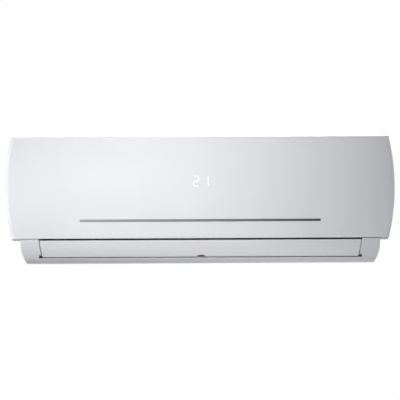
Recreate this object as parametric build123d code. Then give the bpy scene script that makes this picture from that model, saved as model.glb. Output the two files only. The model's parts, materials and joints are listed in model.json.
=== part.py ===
from build123d import *
import math
import os

# Indoor unit of a mini split air conditioner, in millimetres.
# X runs across the unit, Y from the front to the wall plane at Y = 0, Z upward.
# The origin is the middle of the wall plate's screw pattern, on the wall plane.

# ---- overall form ----
WIDTH = 845.0
DEPTH = 180.0
TOP_Z = 137.5
BOTTOM_Z = -137.5
HALF = WIDTH / 2
FRONT_Y = -DEPTH
WALL = 2.5
SEAT = 0.3
RUN_GAP = 1.0
CUT = 1.0
WALL_GAP = 0.3
HOLE_SIDES = 8
NUT_SIDES = 6
RING_SIDES = 12

# ---- ends of the air duct ----
DUCT_LEFT_INSET = 79.5
DUCT_RIGHT_INSET = 109.5
DUCT_LEFT_X = DUCT_LEFT_INSET - HALF
DUCT_RIGHT_X = HALF - DUCT_RIGHT_INSET

# ---- front panel ----
PANEL_LOW_Z = -82.5
PANEL_WALL = 2.5
PANEL_DEPTH = 20.0
PANEL_TOP_DEPTH = 15.0
PANEL_REAR_Y = FRONT_Y + PANEL_DEPTH
PANEL_TOP_REAR_Y = FRONT_Y + PANEL_TOP_DEPTH
PANEL_CUT = 13.5
END_BOW_R = 474.6
END_BOW_Z = 27.6
CROWN_R = 1250.0
END_RUN = 98.0
END_DROP_R = 700.0
END_AHEAD = 0.6
END_FLAT_X = HALF - END_RUN
END_EDGE_R = 9.0
TOP_EDGE_R = 4.0
LUG_R = 3.1
LUG_WALL = 3.0
LUG_FOOT = (6.0, 5.0)
LUG_FOOT_Y = 7.0
LUG_FOOT_Z = 1.5
RIB_DEPTH = 5.0
RIB_WALL = 1.8
EAR_INSET = 32.5
EAR_X = HALF - EAR_INSET
EAR_WALL = 3.0
EAR_FOOT = 6.0
PANEL_PIN_R = 1.6
HINGE_SET = 18.0
HINGE_DROP = 6.0

# ---- trim strip ----
STRIP_LENGTH = 522.0
STRIP_HEIGHT = 5.0
STRIP_Z = -43.9
STRIP_DEPTH = 1.5
STRIP_SINK = 1.2
STRIP_EDGE_R = 0.4

# ---- front casing ----
FACE_SET = 21.5
FRONT_WALL = 2.0
FACE_Y = FRONT_Y + FACE_SET
FACE_TOP_Z = 130.0
CASING_TOP_Z = 135.0
CASING_TOP_Y = FACE_Y + FRONT_WALL
CASING_INSET = 1.0
SHOULDER_Z = -87.0
SHOULDER_R = 4.0
SHOULDER_IN = 9.0
CHEEK_TOP_SET = 4.7
CHEEK_LOW_SET = 22.3
LIP_SET = 54.0
CHEEK_TOP = (FRONT_Y + CHEEK_TOP_SET, -83.6)
CHEEK_LOW = (FRONT_Y + CHEEK_LOW_SET, -124.0)
LIP_LOW = (FRONT_Y + LIP_SET, BOTTOM_Z)
CHEEK_BULGE = 2.6
MOUTH_MID_RISE = 0.8
MOUTH_PAST = 4.0
LIP_HEEL = 6.0
LIP_DROP = 8.0
LIP_EDGE_IN = 0.6
LIP_EDGE_DROP = 2.2
TROUGH_END_ANGLE = -112.0
BLANK_DEPTH = 11.0
BLANK_DROP = 8.0
BLANK_RUN = 26.0
LIP_BULGE = 4.2
UNDERSIDE_RISE = 6.1
UNDERSIDE_END_Y = -58.0
LOWER_TOP_INSET = 32.9
LOWER_MID_INSET = 37.9
LOWER_LOW_INSET = 46.5
LOWER_HALF_TOP = HALF - LOWER_TOP_INSET
LOWER_HALF_MID = HALF - LOWER_MID_INSET
LOWER_MID_Z = -121.0
LOWER_HALF_LOW = HALF - LOWER_LOW_INSET
WINDOW_LOW_Z = -58.0
WINDOW_HIGH_Z = 117.0
WINDOW_INSET = 38.5
BOX_SIDE_INSET = 118.5
WINDOW_LEFT_X = WINDOW_INSET - HALF
WINDOW_RIGHT_X = HALF - BOX_SIDE_INSET
CENTRE_POST = 26.0
GRID_BAR = 3.0
GRID_PITCH_X = 84.0
GRID_PITCH_Z = 58.0
INTAKE_INSET = 46.5
INTAKE_SET = 34.0
INTAKE_HALF = HALF - INTAKE_INSET
INTAKE_FRONT_Y = FRONT_Y + INTAKE_SET
INTAKE_REAR_Y = -26.0
SLOT_GAP = 0.6
TAB_INSET = 12.0
TAB_SET = 6.0
TAB_WIDTH = 18.0
TAB_WALL = 2.5
TAB_FOOT = 3.0
TAB_REACH = 7.0

# ---- top grille ----
GRILLE_FRAME = 6.0
GRILLE_COLUMNS = 9
GRILLE_ROWS = 5
GRILLE_BAR = 4.0
GRILLE_SLAT = 3.2
GRILLE_THICK = 3.6

# ---- outlet flap ----
FLAP_TOP_Z = -86.3
FLAP_LOW_Z = -122.5
FLAP_INSET = 73.7
FLAP_TAPER = 7.0
FLAP_HALF_TOP = HALF - FLAP_INSET
FLAP_HALF_LOW = FLAP_HALF_TOP - FLAP_TAPER
FLAP_WALL = 2.2
FLAP_BEAD_R = 3.3
FLAP_AXIS_DEPTH = 4.6
FLAP_GAP = 1.7
FLAP_HINGE_BACK = 3.0
FLAP_RIB = 6.0
FLAP_RIB_COUNT = 4
FLAP_RIB_IN = 12.0
TROUGH_R = 6.5
FLAP_PIN_R = 1.6
NOTCH_X = 2.0
NOTCH_WIDTH = 17.0
NOTCH_HEIGHT = 3.6
CLIP_PIN_R = 1.4
CLIP_R = 3.2
CLIP_OPEN = 0.9
CLIP_ARM = 2.2
CLIP_FOOT = 5.0
CLIP_WIDTH = 6.0
BUSH_R = 3.0
BUSH_PROUD = 0.9
SOCKET_GAP = 0.05
SOCKET_DEPTH = 7.0
STEP_R = 12.0
MOTOR_EAR_WIDTH = 7.0
MOTOR_EAR_WALL = 1.5
STEP_LENGTH = 18.0
STEP_OFFSET = (8.5, 10.0)
EAR_REACH = 16.0
SHAFT_IN_MOTOR = 6.0

# ---- cross-flow fan ----
FAN_Y = -80.0
FAN_Z = -34.0
FAN_R = 44.0
FAN_END_GAP = 9.0
FAN_LEFT_X = DUCT_LEFT_X + FAN_END_GAP
FAN_RIGHT_X = DUCT_RIGHT_X - FAN_END_GAP
FAN_SEGMENTS = 2
FAN_BLADES = 16
BLADE_WALL = 1.2
BLADE_DEPTH = 10.0
BLADE_LEAN = 28.0
BLADE_IN = 0.6
FAN_RING_OVER = 1.5
DISC_WALL = 2.4
FAN_SHAFT_R = 4.0
FAN_HUB_R = 11.0
HUB_LENGTH = 14.0
END_SHAFT_OUT = 22.0
BEARING_LENGTH = 9.0
BEARING_R = 8.0
CUP_R = 15.0
CUP_RIM = 3.0

# ---- air duct ----
DUCT_WALL = 2.5
SCROLL_BACK = 53.0
SCROLL_UPPER_R = 50.0
SCROLL_LOWER_R = 72.0
SCROLL_START = 70.0
WEB_UP_ANGLE = 55.0
WEB_LOW_ANGLE = -50.0
WEB_WALL = 2.5
SHELF_AT = 22.0
SHELF_LIFT = 2.0
SHELF_RISE = 9.0
FLOOR_SLOPE = 12.0
FLOOR_SET = 38.0
FLOOR_END_Y = FRONT_Y + FLOOR_SET
TONGUE_GAP = 3.2
TRAY_NOSE_SET = 24.4
TRAY_NOSE = (FRONT_Y + TRAY_NOSE_SET, -80.5)
TRAY_FRONT_RISE = 6.0
NIPPLE_R = 8.0
TRAY_FLOOR = 1.0
TRAY_WALL = 2.0
TRAY_BACK = 4.6
TRAY_KNEE = 14.0
NIPPLE_BORE = 6.0
PLUG_REACH = 8.0
PLUG_HEAD = 3.0
NIPPLE_LENGTH = 22.0
NIPPLE_AT = (FLOOR_END_Y, -57.4)

# ---- air vanes ----
VANES_PER_GROUP = 5
VANE_SET = 24.0
VANE_PITCH = (DUCT_RIGHT_X - NOTCH_X) / VANES_PER_GROUP
VANE_Y = FLOOR_END_Y + VANE_SET
PARTING_REAR = 4.0
PARTING_HIGH = 26.0
PARTING_WALL = 3.0
VANE_WALL = 1.6
VANE_FRONT = 21.0
VANE_BACK = 26.0
VANE_HEIGHT = 31.0
VANE_CORNER = 5.0
VANE_FALL = 14.0
VANE_LIFT = 0.6
VANE_PIN_R = 1.6
PIN_GAP = 0.3
LINK_AT = 19.0
LINK_WIDTH = 5.6
LINK_WALL = 1.6
LINK_LIFT = 1.4
LINK_PIN_R = 1.1
LINK_NOTCH_TOP = 5.2
LINK_NOTCH_AT = 13.5
LEFT_GROUP_X = (DUCT_LEFT_X + NOTCH_X) / 2
RIGHT_GROUP_X = (NOTCH_X + DUCT_RIGHT_X) / 2

# ---- air filters ----
FILTER_SET = 3.9
FILTER_GRIP = 10.0
GUIDE_SINK = 0.2
GUIDE_WALL = 1.2
GUIDE_OVER = 3.0
GUIDE_LIP = 1.0
GUIDE_STOP = 1.5
GUIDE_SHORT = 12.0
FILTER_Y = FACE_Y + FILTER_SET
FILTER_WALL = 1.8
FILTER_LOW_Z = -64.0
FILTER_TAB = 1.4
FILTER_BAR = 3.0
FILTER_EDGE = 7.0
FILTER_FLOW = 0.5
FILTER_ROWS = 3
FILTER_OVERLAP = 6.0

# ---- evaporator ----
COIL_LEFT_GAP = 21.0
COIL_RIGHT_GAP = 23.0
COIL_SET = 8.0
COIL_LEFT_X = DUCT_LEFT_X + COIL_LEFT_GAP
COIL_RIGHT_X = DUCT_RIGHT_X - COIL_RIGHT_GAP
COIL_THICK = 18.0
COIL_FRONT_Y = FACE_Y + COIL_SET
COIL_FRONT_LOW_Z = -56.0
COIL_FRONT_HIGH_Z = 40.0
COIL_UPPER_SET = 13.5
COIL_UPPER_FROM = (COIL_FRONT_Y + COIL_UPPER_SET, 50.0)
COIL_UPPER_TO = (-100.0, 106.0)
COIL_REAR_FROM = (-84.0, 107.0)
COIL_REAR_TO = (-40.0, 48.0)
FIN_PITCH = 40.0
FIN_SLOT = 6.0
FIN_SLOT_DEPTH = 2.5
END_PLATE_WALL = 1.5
PLATE_KNEE = (8.0, 6.0)
PLATE_CROWN = 14.0
TUBE_EDGE = 4.0
TUBE_R = 3.5
TUBE_PITCH = 25.4
TUBE_SIDES = 8
BEND_STEPS = 4
BEND_CORNERS = 3
HEADER_GAP = 12.0
HEADER_X = DUCT_RIGHT_X - HEADER_GAP
HEADER_R = 6.5
HEADER_PAST = 11.0

# ---- copper pipes ----
GAS_R = 4.76
LIQUID_R = 3.18
PIPE_BEHIND_Y = -24.0
GAS_LEVEL = 78.0
LIQUID_LEVEL = 58.0
PIPE_DOWN_GAP = 34.0
PIPE_DOWN_X = DUCT_RIGHT_X + PIPE_DOWN_GAP
PIPE_GAP_X = 14.0
PIPE_ROOM = 12.0
GAS_LOW_Z = -120.5
LIQUID_LOW_Z = -103.0
PIPE_END_X = -160.0
PIPE_BEND_R = 12.0
NUT_LENGTH = 18.0
NUT_OVER = 3.0
GAS_NUT_R = 10.0
LIQUID_NUT_R = 8.5
PIPE_HOLE_R = 9.0
CLAMP_X = 110.0
CLAMP_WIDTH = 16.0
CLAMP_DEPTH = 22.0
CLAMP_OVER = 7.0
OUTLET_HIGH_Z = -93.0
OUTLET_LOW_Z = -129.5
OUTLET_DEPTH = 42.0

# ---- chassis and wall plate ----
BACK_Y = -8.0
BACK_WALL = 2.5
BACK_INSET = 30.5
BACK_HALF = HALF - BACK_INSET
BACK_TOP_Z = 131.0
BACK_LOW_Z = -84.0
CHANNEL_HIGH_Z = -94.0
RIM_HEIGHT = 2.5
CHASSIS_LOW_INSET = 52.5
CHASSIS_LOW_HALF = HALF - CHASSIS_LOW_INSET
CHASSIS_RIBS = 3
SIDE_PLATE_WALL = 2.5
PLATE_WALL = 1.2
PLATE_HALF = 300.0
PLATE_HIGH_Z = 118.0
PLATE_LOW_Z = -100.0
SCREW_SPAN_X = 460.0
SCREW_SPAN_Z = 120.0
WALL_SCREW_R = 2.75
PLATE_HOLE_XS = (-120.0, 0.0, 120.0)
PLATE_HOLE_Z = -8.0
PLATE_HOLE = (78.0, 60.0)
PLATE_CORNER = 20.0
HOOK_XS = (-210.0, 210.0)
HOOK_WIDTH = 40.0
HOOK_WALL = 1.5
HOOK_CLEAR = 1.5
HOOK_RISE = 6.0
CATCH_REACH = 7.0
HOOK_Z = 106.0
HOOK_SLOT_LOW = HOOK_Z - 10.5

# ---- electric parts ----
MOTOR_R = 34.0
MOTOR_LENGTH = 48.0
MOTOR_GAP = 14.0
MOTOR_LEFT_X = DUCT_RIGHT_X + MOTOR_GAP
MOTOR_BOSS_R = 12.0
BOSS_LENGTH = 8.0
RUBBER_R = 19.0
COVER_RISE = 6.0
COVER_REACH = 10.0
CRADLE_IN = 1.5
CRADLE_WALL = 3.0
BRIDGE_RISE = 4.0
BRIDGE_WIDTH = 28.0
BOX_GAP = 9.0
BOX_INSET = 36.5
BOX_SET = 6.9
BOX_DEPTH = 29.6
BOX_LEFT_X = DUCT_RIGHT_X + BOX_GAP
BOX_RIGHT_X = HALF - BOX_INSET
BOX_FRONT_Y = FACE_Y + BOX_SET
BOX_REAR_Y = BOX_FRONT_Y + BOX_DEPTH
BOX_LOW_Z = -42.0
BOX_HIGH_Z = 117.0
BOX_WALL = 2.0
BOX_COVER_WALL = 1.2
BOARD_WALL = 1.6
BOARD_ROOM = 3.0
BOARD_UP = 30.0
BOARD_PARTS = (
    ((0.11, 0.1), (0.29, 0.18), 13.0),
    ((0.54, 0.07), (0.3, 0.15), 10.0),
    ((0.62, 0.75), (0.3, 0.15), 6.0),
)
CAPACITOR_SPOTS = ((0.22, 0.85), (0.46, 0.85))
CAPACITOR_R = 0.09
CAPACITOR_RISE = 12.0
BOX_ARM = 8.0
POST_WIDTH = 6.0
POST_IN = 8.0
POST_LOW = 38.0
POST_HIGH = 14.0
POST_RISE = 6.0
COVER_FOLD = 5.0
TERMINAL_WAYS = 5
TERMINAL_PITCH = 9.6
TERMINAL_HIGH = 20.0
TERMINAL_DEPTH = 12.0
TERMINAL_POCKET = (6.8, 9.0)
TERMINAL_SCREW_R = 2.8
TERMINAL_FLOOR = 8.0
SWITCH_WIDTH = 6.0
BUTTON_IN = 30.0
BUTTON_X = BOX_LEFT_X + BUTTON_IN
BUTTON_Z = -30.0
BUTTON_R = 4.0
BUTTON_TRAVEL = 1.0
BUTTON_PROUD = 1.5
BUTTON_RIM = 1.4
BUTTON_FLANGE = 0.8

# ---- display ----
DIGIT_X = 2.0
DIGIT_Z = 41.0
DISPLAY_WIDTH = 52.0
DISPLAY_HEIGHT = 34.0
DISPLAY_RIM = 6.0
MODULE_IN = 7.0
FOOT_RISE = 2.0
FOOT_WIDTH = 4.0

# ---- worked-out places ----
SCROLL_REAR = (FAN_Y + SCROLL_BACK, FAN_Z)
SCROLL_LOWER_C = (SCROLL_REAR[0] - SCROLL_LOWER_R, FAN_Z)
SCROLL_UPPER_C = (SCROLL_REAR[0] - SCROLL_UPPER_R, FAN_Z)
SCROLL_TURN = math.radians(FLOOR_SLOPE - 90.0)
SCROLL_END = (
    SCROLL_LOWER_C[0] + SCROLL_LOWER_R * math.cos(SCROLL_TURN),
    SCROLL_LOWER_C[1] + SCROLL_LOWER_R * math.sin(SCROLL_TURN),
)
CHEEK_CHORD = math.dist(CHEEK_TOP, CHEEK_LOW)
CHEEK_DIR = (
    (CHEEK_LOW[0] - CHEEK_TOP[0]) / CHEEK_CHORD,
    (CHEEK_LOW[1] - CHEEK_TOP[1]) / CHEEK_CHORD,
)
CHEEK_IN = (-CHEEK_DIR[1], CHEEK_DIR[0])
FLAP_LOW_Y = CHEEK_LOW[0] + (FLAP_LOW_Z - CHEEK_LOW[1]) * CHEEK_DIR[0] / CHEEK_DIR[1]
FLAP_HINGE = (
    FLAP_LOW_Y - CHEEK_DIR[0] * FLAP_HINGE_BACK + CHEEK_IN[0] * FLAP_AXIS_DEPTH,
    FLAP_LOW_Z - CHEEK_DIR[1] * FLAP_HINGE_BACK + CHEEK_IN[1] * FLAP_AXIS_DEPTH,
)
PANEL_HINGE = (FRONT_Y + HINGE_SET, TOP_Z - HINGE_DROP)
TAB_XS = (DUCT_LEFT_X + TAB_INSET, (DUCT_LEFT_X + DUCT_RIGHT_X) / 2, DUCT_RIGHT_X - TAB_INSET)
TAB_Y = FLOOR_END_Y + TAB_SET
FILTER_REAR_Y = FILTER_Y + FILTER_WALL
FILTER_LEFT = (WINDOW_LEFT_X - FILTER_OVERLAP, -CENTRE_POST / 2 + FILTER_OVERLAP)
FILTER_RIGHT = (CENTRE_POST / 2 - FILTER_OVERLAP, WINDOW_RIGHT_X + FILTER_OVERLAP)



# ---- drawing helpers ----
def across(face, x_from, x_to):
    """Solid of a (Y, Z) face between two X stations."""
    return extrude(Plane.YZ.offset(x_from) * face, x_to - x_from)


def rearward(face, y_front, y_rear):
    """Solid of an (X, Z) face between a front and a rear Y station."""
    return extrude(Plane.XZ.offset(-y_rear) * face, y_rear - y_front)


def upward(face, z_low, z_high):
    """Solid of an (X, Y) face between two heights."""
    return extrude(Plane.XY.offset(z_low) * face, z_high - z_low)


def block(x, y, z):
    """Box between (low, high) limits along each axis."""
    limits = (x, y, z)
    size = [high - low for low, high in limits]
    middle = [(high + low) / 2 for low, high in limits]
    return Pos(*middle) * Box(*size)


def polygon(*points):
    """Flat face with straight sides."""
    return make_face(Polyline(*points, close=True))


def disc(radius, u, v):
    """Round face about a point of a drawing plane."""
    return Pos(u, v) * Circle(radius)


def sided(radius, u, v, sides=HOLE_SIDES):
    """Many-sided face about a point, with its flats at the given radius."""
    return Pos(u, v) * RegularPolygon(radius, sides, major_radius=False)


def rod_x(radius, x_from, x_to, y, z):
    return across(disc(radius, y, z), x_from, x_to)


def tube_x(radius, bore, x_from, x_to, y, z):
    return across(disc(radius, y, z) - disc(bore, y, z), x_from, x_to)


def along(start, end, distance):
    """Point at a distance from start on the way to end, in a drawing plane."""
    length = math.dist(start, end)
    return tuple(a + (b - a) * distance / length for a, b in zip(start, end))


def slab(start, end, thick):
    """Rectangle of a given thickness centred on the line between two points."""
    length = math.dist(start, end)
    step_u = (end[0] - start[0]) / length * thick / 2
    step_v = (end[1] - start[1]) / length * thick / 2
    return polygon(
        (start[0] - step_v, start[1] + step_u),
        (end[0] - step_v, end[1] + step_u),
        (end[0] + step_v, end[1] - step_u),
        (start[0] + step_v, start[1] - step_u),
    )


def save(name, shape):
    """Writes one sub-part under its node's name."""
    export_step(shape, os.path.join("parts", name + ".step"))


# ---- shared outlines ----
def end_half_width(z, inset):
    """Half width of the bowed outline at a height."""
    radius = END_BOW_R - inset
    return math.sqrt(radius**2 - (z - END_BOW_Z) ** 2) - END_BOW_R + HALF


def barrel(inset, z_low, z_high):
    """(X, Z) face whose two ends bow outward."""
    z_mid = (z_low + z_high) / 2
    low, mid, high = (end_half_width(z, inset) for z in (z_low, z_mid, z_high))
    right = ThreePointArc((low, z_low), (mid, z_mid), (high, z_high))
    left = ThreePointArc((-high, z_high), (-mid, z_mid), (-low, z_low))
    top = Line((high, z_high), (-high, z_high))
    bottom = Line((-low, z_low), (low, z_low))
    return make_face([right, top, left, bottom])


def lower_outline(inset):
    """(X, Z) face of the casing below the panel, drawn in toward the bottom."""
    top = LOWER_HALF_TOP - inset
    mid = LOWER_HALF_MID - inset
    low = LOWER_HALF_LOW - inset
    z_low = BOTTOM_Z + inset
    right = ThreePointArc((top, SHOULDER_Z), (mid, LOWER_MID_Z), (low, z_low))
    left = ThreePointArc((-low, z_low), (-mid, LOWER_MID_Z), (-top, SHOULDER_Z))
    roof = Polyline(
        (-top, SHOULDER_Z),
        (-top, WINDOW_LOW_Z),
        (top, WINDOW_LOW_Z),
        (top, SHOULDER_Z),
    )
    return make_face([right, Line((low, z_low), (-low, z_low)), left, roof])


def bulge_point(start, end, bulge):
    """Middle of an arc that stands out to the front and below its chord."""
    length = math.dist(start, end)
    out_y = (end[1] - start[1]) / length
    out_z = (start[0] - end[0]) / length
    mid_y = (start[0] + end[0]) / 2
    mid_z = (start[1] + end[1]) / 2
    return (mid_y + out_y * bulge, mid_z + out_z * bulge)


def cheek_arc():
    return ThreePointArc(CHEEK_TOP, bulge_point(CHEEK_TOP, CHEEK_LOW, CHEEK_BULGE), CHEEK_LOW)


def lip_arc():
    return ThreePointArc(CHEEK_LOW, bulge_point(CHEEK_LOW, LIP_LOW, LIP_BULGE), LIP_LOW)


def underside_z(y):
    """Height of the casing's underside, which rises toward the wall."""
    return BOTTOM_Z + UNDERSIDE_RISE * (y - LIP_LOW[0]) / (0 - LIP_LOW[0])


def lower_profile(y_rear):
    """(Y, Z) face of the casing's lower front, from the panel round to the underside."""
    back = Polyline(
        LIP_LOW,
        (y_rear, underside_z(y_rear)),
        (y_rear, CHEEK_TOP[1]),
        CHEEK_TOP,
    )
    return make_face([cheek_arc(), lip_arc(), back])


def inward(face, wall):
    """Face drawn in by a wall, with its corners kept sharp."""
    return offset(face, -wall, kind=Kind.INTERSECTION)


def floor_z(y):
    """Height of the duct's sloping floor."""
    return SCROLL_END[1] + (y - SCROLL_END[0]) * math.tan(math.radians(FLOOR_SLOPE))


# ---- front panel ----
def panel_front_y(z):
    """Y of the panel's crowned face at a height, between its two ends."""
    return FRONT_Y + CROWN_R - math.sqrt(CROWN_R**2 - (z - END_BOW_Z) ** 2)


def panel_profile(inset, high, low, rear):
    """(Y, Z) face of the panel: crowned front, rounded upper edge, straight back."""
    radius = CROWN_R - inset
    mid_y = FRONT_Y + inset
    front_high = mid_y + radius - math.sqrt(radius**2 - (high - END_BOW_Z) ** 2)
    front_low = mid_y + radius - math.sqrt(radius**2 - (low - END_BOW_Z) ** 2)
    front = ThreePointArc((front_low, low), (mid_y, END_BOW_Z), (front_high, high))
    face = make_face([front, Polyline((front_high, high), *rear, (front_low, low))])
    corner = face.vertices().sort_by_distance((front_high, high))[0]
    return fillet(corner, TOP_EDGE_R - inset)


def panel_end(inset, side):
    """Round body whose rim is the bowed end of the panel, falling away in two easy slopes."""
    starts = END_BOW_R - END_RUN
    rim = END_BOW_R - inset
    front = FRONT_Y - END_AHEAD + inset
    runs = (0, END_RUN / 2, END_RUN - inset)
    fall = [(starts + run, front + run**2 / (2 * END_DROP_R)) for run in runs]
    rear = PANEL_REAR_Y + RUN_GAP + inset
    ahead = FRONT_Y - DEPTH
    face = polygon(*fall, (rim, rear), (0, rear), (0, ahead), (starts, ahead))
    corner = face.vertices().sort_by_distance(fall[-1])[0]
    face = chamfer(corner, END_EDGE_R / 2) if inset else fillet(corner, END_EDGE_R)
    body = Pos(HALF - END_BOW_R, 0, END_BOW_Z) * revolve(face, Axis.Y, 360)
    return body if side > 0 else mirror(body, Plane.YZ)


def panel_body(profile, inset):
    """Panel-shaped solid of a (Y, Z) profile, rounded off at both ends."""
    body = across(profile, -HALF, HALF)
    return body & panel_end(inset, 1) & panel_end(inset, -1)


def panel_shell():
    """Open-backed shell with a rounded rim."""
    cut_z = TOP_Z - PANEL_CUT
    rim_z = TOP_Z - PANEL_WALL - SEAT
    outer_rear = (
        (PANEL_TOP_REAR_Y, TOP_Z),
        (PANEL_TOP_REAR_Y, rim_z),
        (PANEL_REAR_Y, cut_z),
        (PANEL_REAR_Y, PANEL_LOW_Z),
    )
    outer = panel_body(panel_profile(0, TOP_Z, PANEL_LOW_Z, outer_rear), 0)
    high, low = TOP_Z - PANEL_WALL, PANEL_LOW_Z + PANEL_WALL
    behind = PANEL_REAR_Y + RUN_GAP
    inner_rear = ((behind, high), (behind, low))
    return outer - panel_body(panel_profile(PANEL_WALL, high, low, inner_rear), PANEL_WALL)


def front_panel():
    """Panel with its hinge lugs, pins, stiffening ribs and the groove for the trim strip."""
    shell = panel_shell()
    groove_y = panel_front_y(STRIP_Z)
    half = STRIP_LENGTH / 2 + SEAT
    high = STRIP_HEIGHT / 2 + SEAT
    groove = (groove_y - CUT, groove_y + STRIP_SINK)
    shell -= block((-half, half), groove, (STRIP_Z - high, STRIP_Z + high))
    for side in (-1, 1):
        shell += panel_lug(side)
    for z in (WINDOW_HIGH_Z - GRID_PITCH_Z / 2, STRIP_Z + GRID_PITCH_Z / 2):
        shell += panel_rib(z)
    return shell


def panel_rib(z):
    """Stiffening rib along the panel's inner face."""
    inner_y = panel_front_y(z) + PANEL_WALL
    high = (z - RIB_WALL / 2, z + RIB_WALL / 2)
    return block((-END_FLAT_X, END_FLAT_X), (inner_y - SEAT, inner_y + RIB_DEPTH), high)


def panel_lug(side):
    """Hinge lug under the panel's top wall with its pin, at one end."""
    y, z = PANEL_HINGE
    lug = make_hull(
        [
            *sided(LUG_R, y, z).edges(),
            *(Pos(y - LUG_FOOT_Y, z + LUG_FOOT_Z) * Rectangle(*LUG_FOOT)).edges(),
        ]
    )
    x_in = EAR_X + EAR_WALL + RUN_GAP / 2
    x_out = x_in + LUG_WALL
    arm = across(lug, x_in, x_out) + rod_x(PANEL_PIN_R, EAR_X - CUT / 2, x_out, y, z)
    return arm if side > 0 else mirror(arm, Plane.YZ)


def panel_trim_strip():
    """Bar sunk in the panel's groove, following the face."""
    front = panel_front_y(STRIP_Z) + STRIP_SINK - STRIP_DEPTH
    half = STRIP_LENGTH / 2
    high = STRIP_HEIGHT / 2
    bar = block((-half, half), (front, front + STRIP_DEPTH), (STRIP_Z - high, STRIP_Z + high))
    return fillet(bar.faces().sort_by(Axis.Y)[0].edges(), STRIP_EDGE_R)


# ---- front casing ----
def casing_profile():
    """(Y, Z) face of the casing above the shoulder."""
    return polygon(
        (FACE_Y, SHOULDER_Z),
        (FACE_Y, FACE_TOP_Z),
        (CASING_TOP_Y, CASING_TOP_Z),
        (-WALL_GAP, CASING_TOP_Z),
        (-WALL_GAP, SHOULDER_Z),
    )


def casing_shell():
    """Shoulders and lower front as one wall, open toward the wall plate."""
    half = WIDTH / 2
    upper = across(casing_profile(), -half, half)
    upper_outline = barrel(CASING_INSET, SHOULDER_Z, CASING_TOP_Z)
    upper &= rearward(upper_outline, -DEPTH, 0)
    corners = upper.edges().filter_by(Axis.Y).group_by(Axis.Z)[0]
    upper = fillet(corners, SHOULDER_R)
    lower = across(lower_profile(-WALL_GAP), -half, half)
    lower &= rearward(lower_outline(0), -DEPTH, 0)
    hollow_profile = polygon(
        (FACE_Y + FRONT_WALL, SHOULDER_Z + WALL),
        (FACE_Y + FRONT_WALL, FACE_TOP_Z),
        (CASING_TOP_Y + FRONT_WALL, CASING_TOP_Z - WALL),
        (1, CASING_TOP_Z - WALL),
        (1, SHOULDER_Z + WALL),
    )
    hollow = across(hollow_profile, -half, half)
    inner_outline = barrel(CASING_INSET + WALL, SHOULDER_Z + WALL, CASING_TOP_Z - WALL)
    hollow &= rearward(inner_outline, -DEPTH, CUT)
    low_hollow = across(inward(lower_profile(WALL + CUT), WALL), -half, half)
    low_hollow += block((-half, half), (FACE_Y + FRONT_WALL, CUT), (SHOULDER_Z - SHOULDER_IN, 0))
    low_hollow &= rearward(lower_outline(WALL), -DEPTH, CUT)
    return upper + lower - hollow - low_hollow


def mouth_outline(gap):
    """(X, Z) outline of the flap, grown by a gap on every side."""
    top, low = FLAP_HALF_TOP + gap, FLAP_HALF_LOW + gap
    z_high, z_low = FLAP_TOP_Z + gap, FLAP_LOW_Z - gap
    mid = (top + low) / 2 + MOUTH_MID_RISE
    z_mid = (z_high + z_low) / 2
    right = ThreePointArc((low, z_low), (mid, z_mid), (top, z_high))
    left = ThreePointArc((-top, z_high), (-mid, z_mid), (-low, z_low))
    return make_face([right, Line((top, z_high), (-top, z_high)), left, Line((-low, z_low), (low, z_low))])


def lip_face():
    """(Y, Z) face of the lip: duct floor, hinge trough and lip in one outline."""
    y, z = FLAP_HINGE
    floor_meet = y + TROUGH_R
    drop = z - floor_z(floor_meet)
    rear_angle = math.degrees(math.asin(-drop / TROUGH_R))
    trough = CenterArc((y, z), TROUGH_R, rear_angle, TROUGH_END_ANGLE - rear_angle)
    floor_start = (FLOOR_END_Y - SEAT, floor_z(FLOOR_END_Y - SEAT))
    return make_face(
        [
            Line(floor_start, trough @ 0),
            trough,
            Line(trough @ 1, CHEEK_LOW),
            lip_arc(),
            Polyline(LIP_LOW, (LIP_LOW[0] + LIP_HEEL, floor_start[1] - LIP_DROP), floor_start),
        ]
    )


def lip_edge():
    """(Y, Z) face taken off the lip's upper edge, so that the opened flap clears it."""
    y, z = FLAP_HINGE
    edge = (y - LIP_EDGE_IN, z - TROUGH_R)
    ahead = CHEEK_LOW[0] - WALL
    return polygon(edge, (ahead, CHEEK_LOW[1] - LIP_EDGE_DROP), (ahead, z), (edge[0], z))


def lip_hollow():
    """(Y, Z) face of the space inside the lip, open toward the rear."""
    y, z = FLAP_HINGE
    rear = FLOOR_END_Y + TAB_SET
    top_rear = (rear, floor_z(FLOOR_END_Y) - WALL)
    front = y + TROUGH_R + WALL / 2
    knee = (front, floor_z(front) - WALL)
    low_front = (front, z - TROUGH_R - 2 * WALL)
    low_rear = (rear, BOTTOM_Z + WALL)
    mid = bulge_point(low_front, low_rear, LIP_BULGE - WALL / 2)
    return make_face(
        [
            Polyline(low_rear, top_rear, knee, low_front),
            ThreePointArc(low_front, mid, low_rear),
        ]
    )


def casing_lip():
    """Hollow lip below the flap, between the two cheeks."""
    half = FLAP_HALF_LOW + FLAP_GAP
    face = lip_face() - lip_hollow()
    rear = FLOOR_END_Y - SEAT
    face -= polygon((rear, BOTTOM_Z + WALL), (rear, 0), (0, 0), (0, BOTTOM_Z + WALL))
    return across(face, -half, half)


def cheek_walls():
    """Side walls of the flap's recess, one at each end."""
    rear = FLOOR_END_Y - SEAT
    face = make_face(
        [
            cheek_arc(),
            Polyline(CHEEK_LOW, (rear, floor_z(rear) - WALL), (rear, CHEEK_TOP[1]), CHEEK_TOP),
        ]
    )
    x_in = FLAP_HALF_TOP + FLAP_GAP
    wall = across(face, x_in, x_in + WALL)
    return wall + mirror(wall, Plane.YZ)


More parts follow.
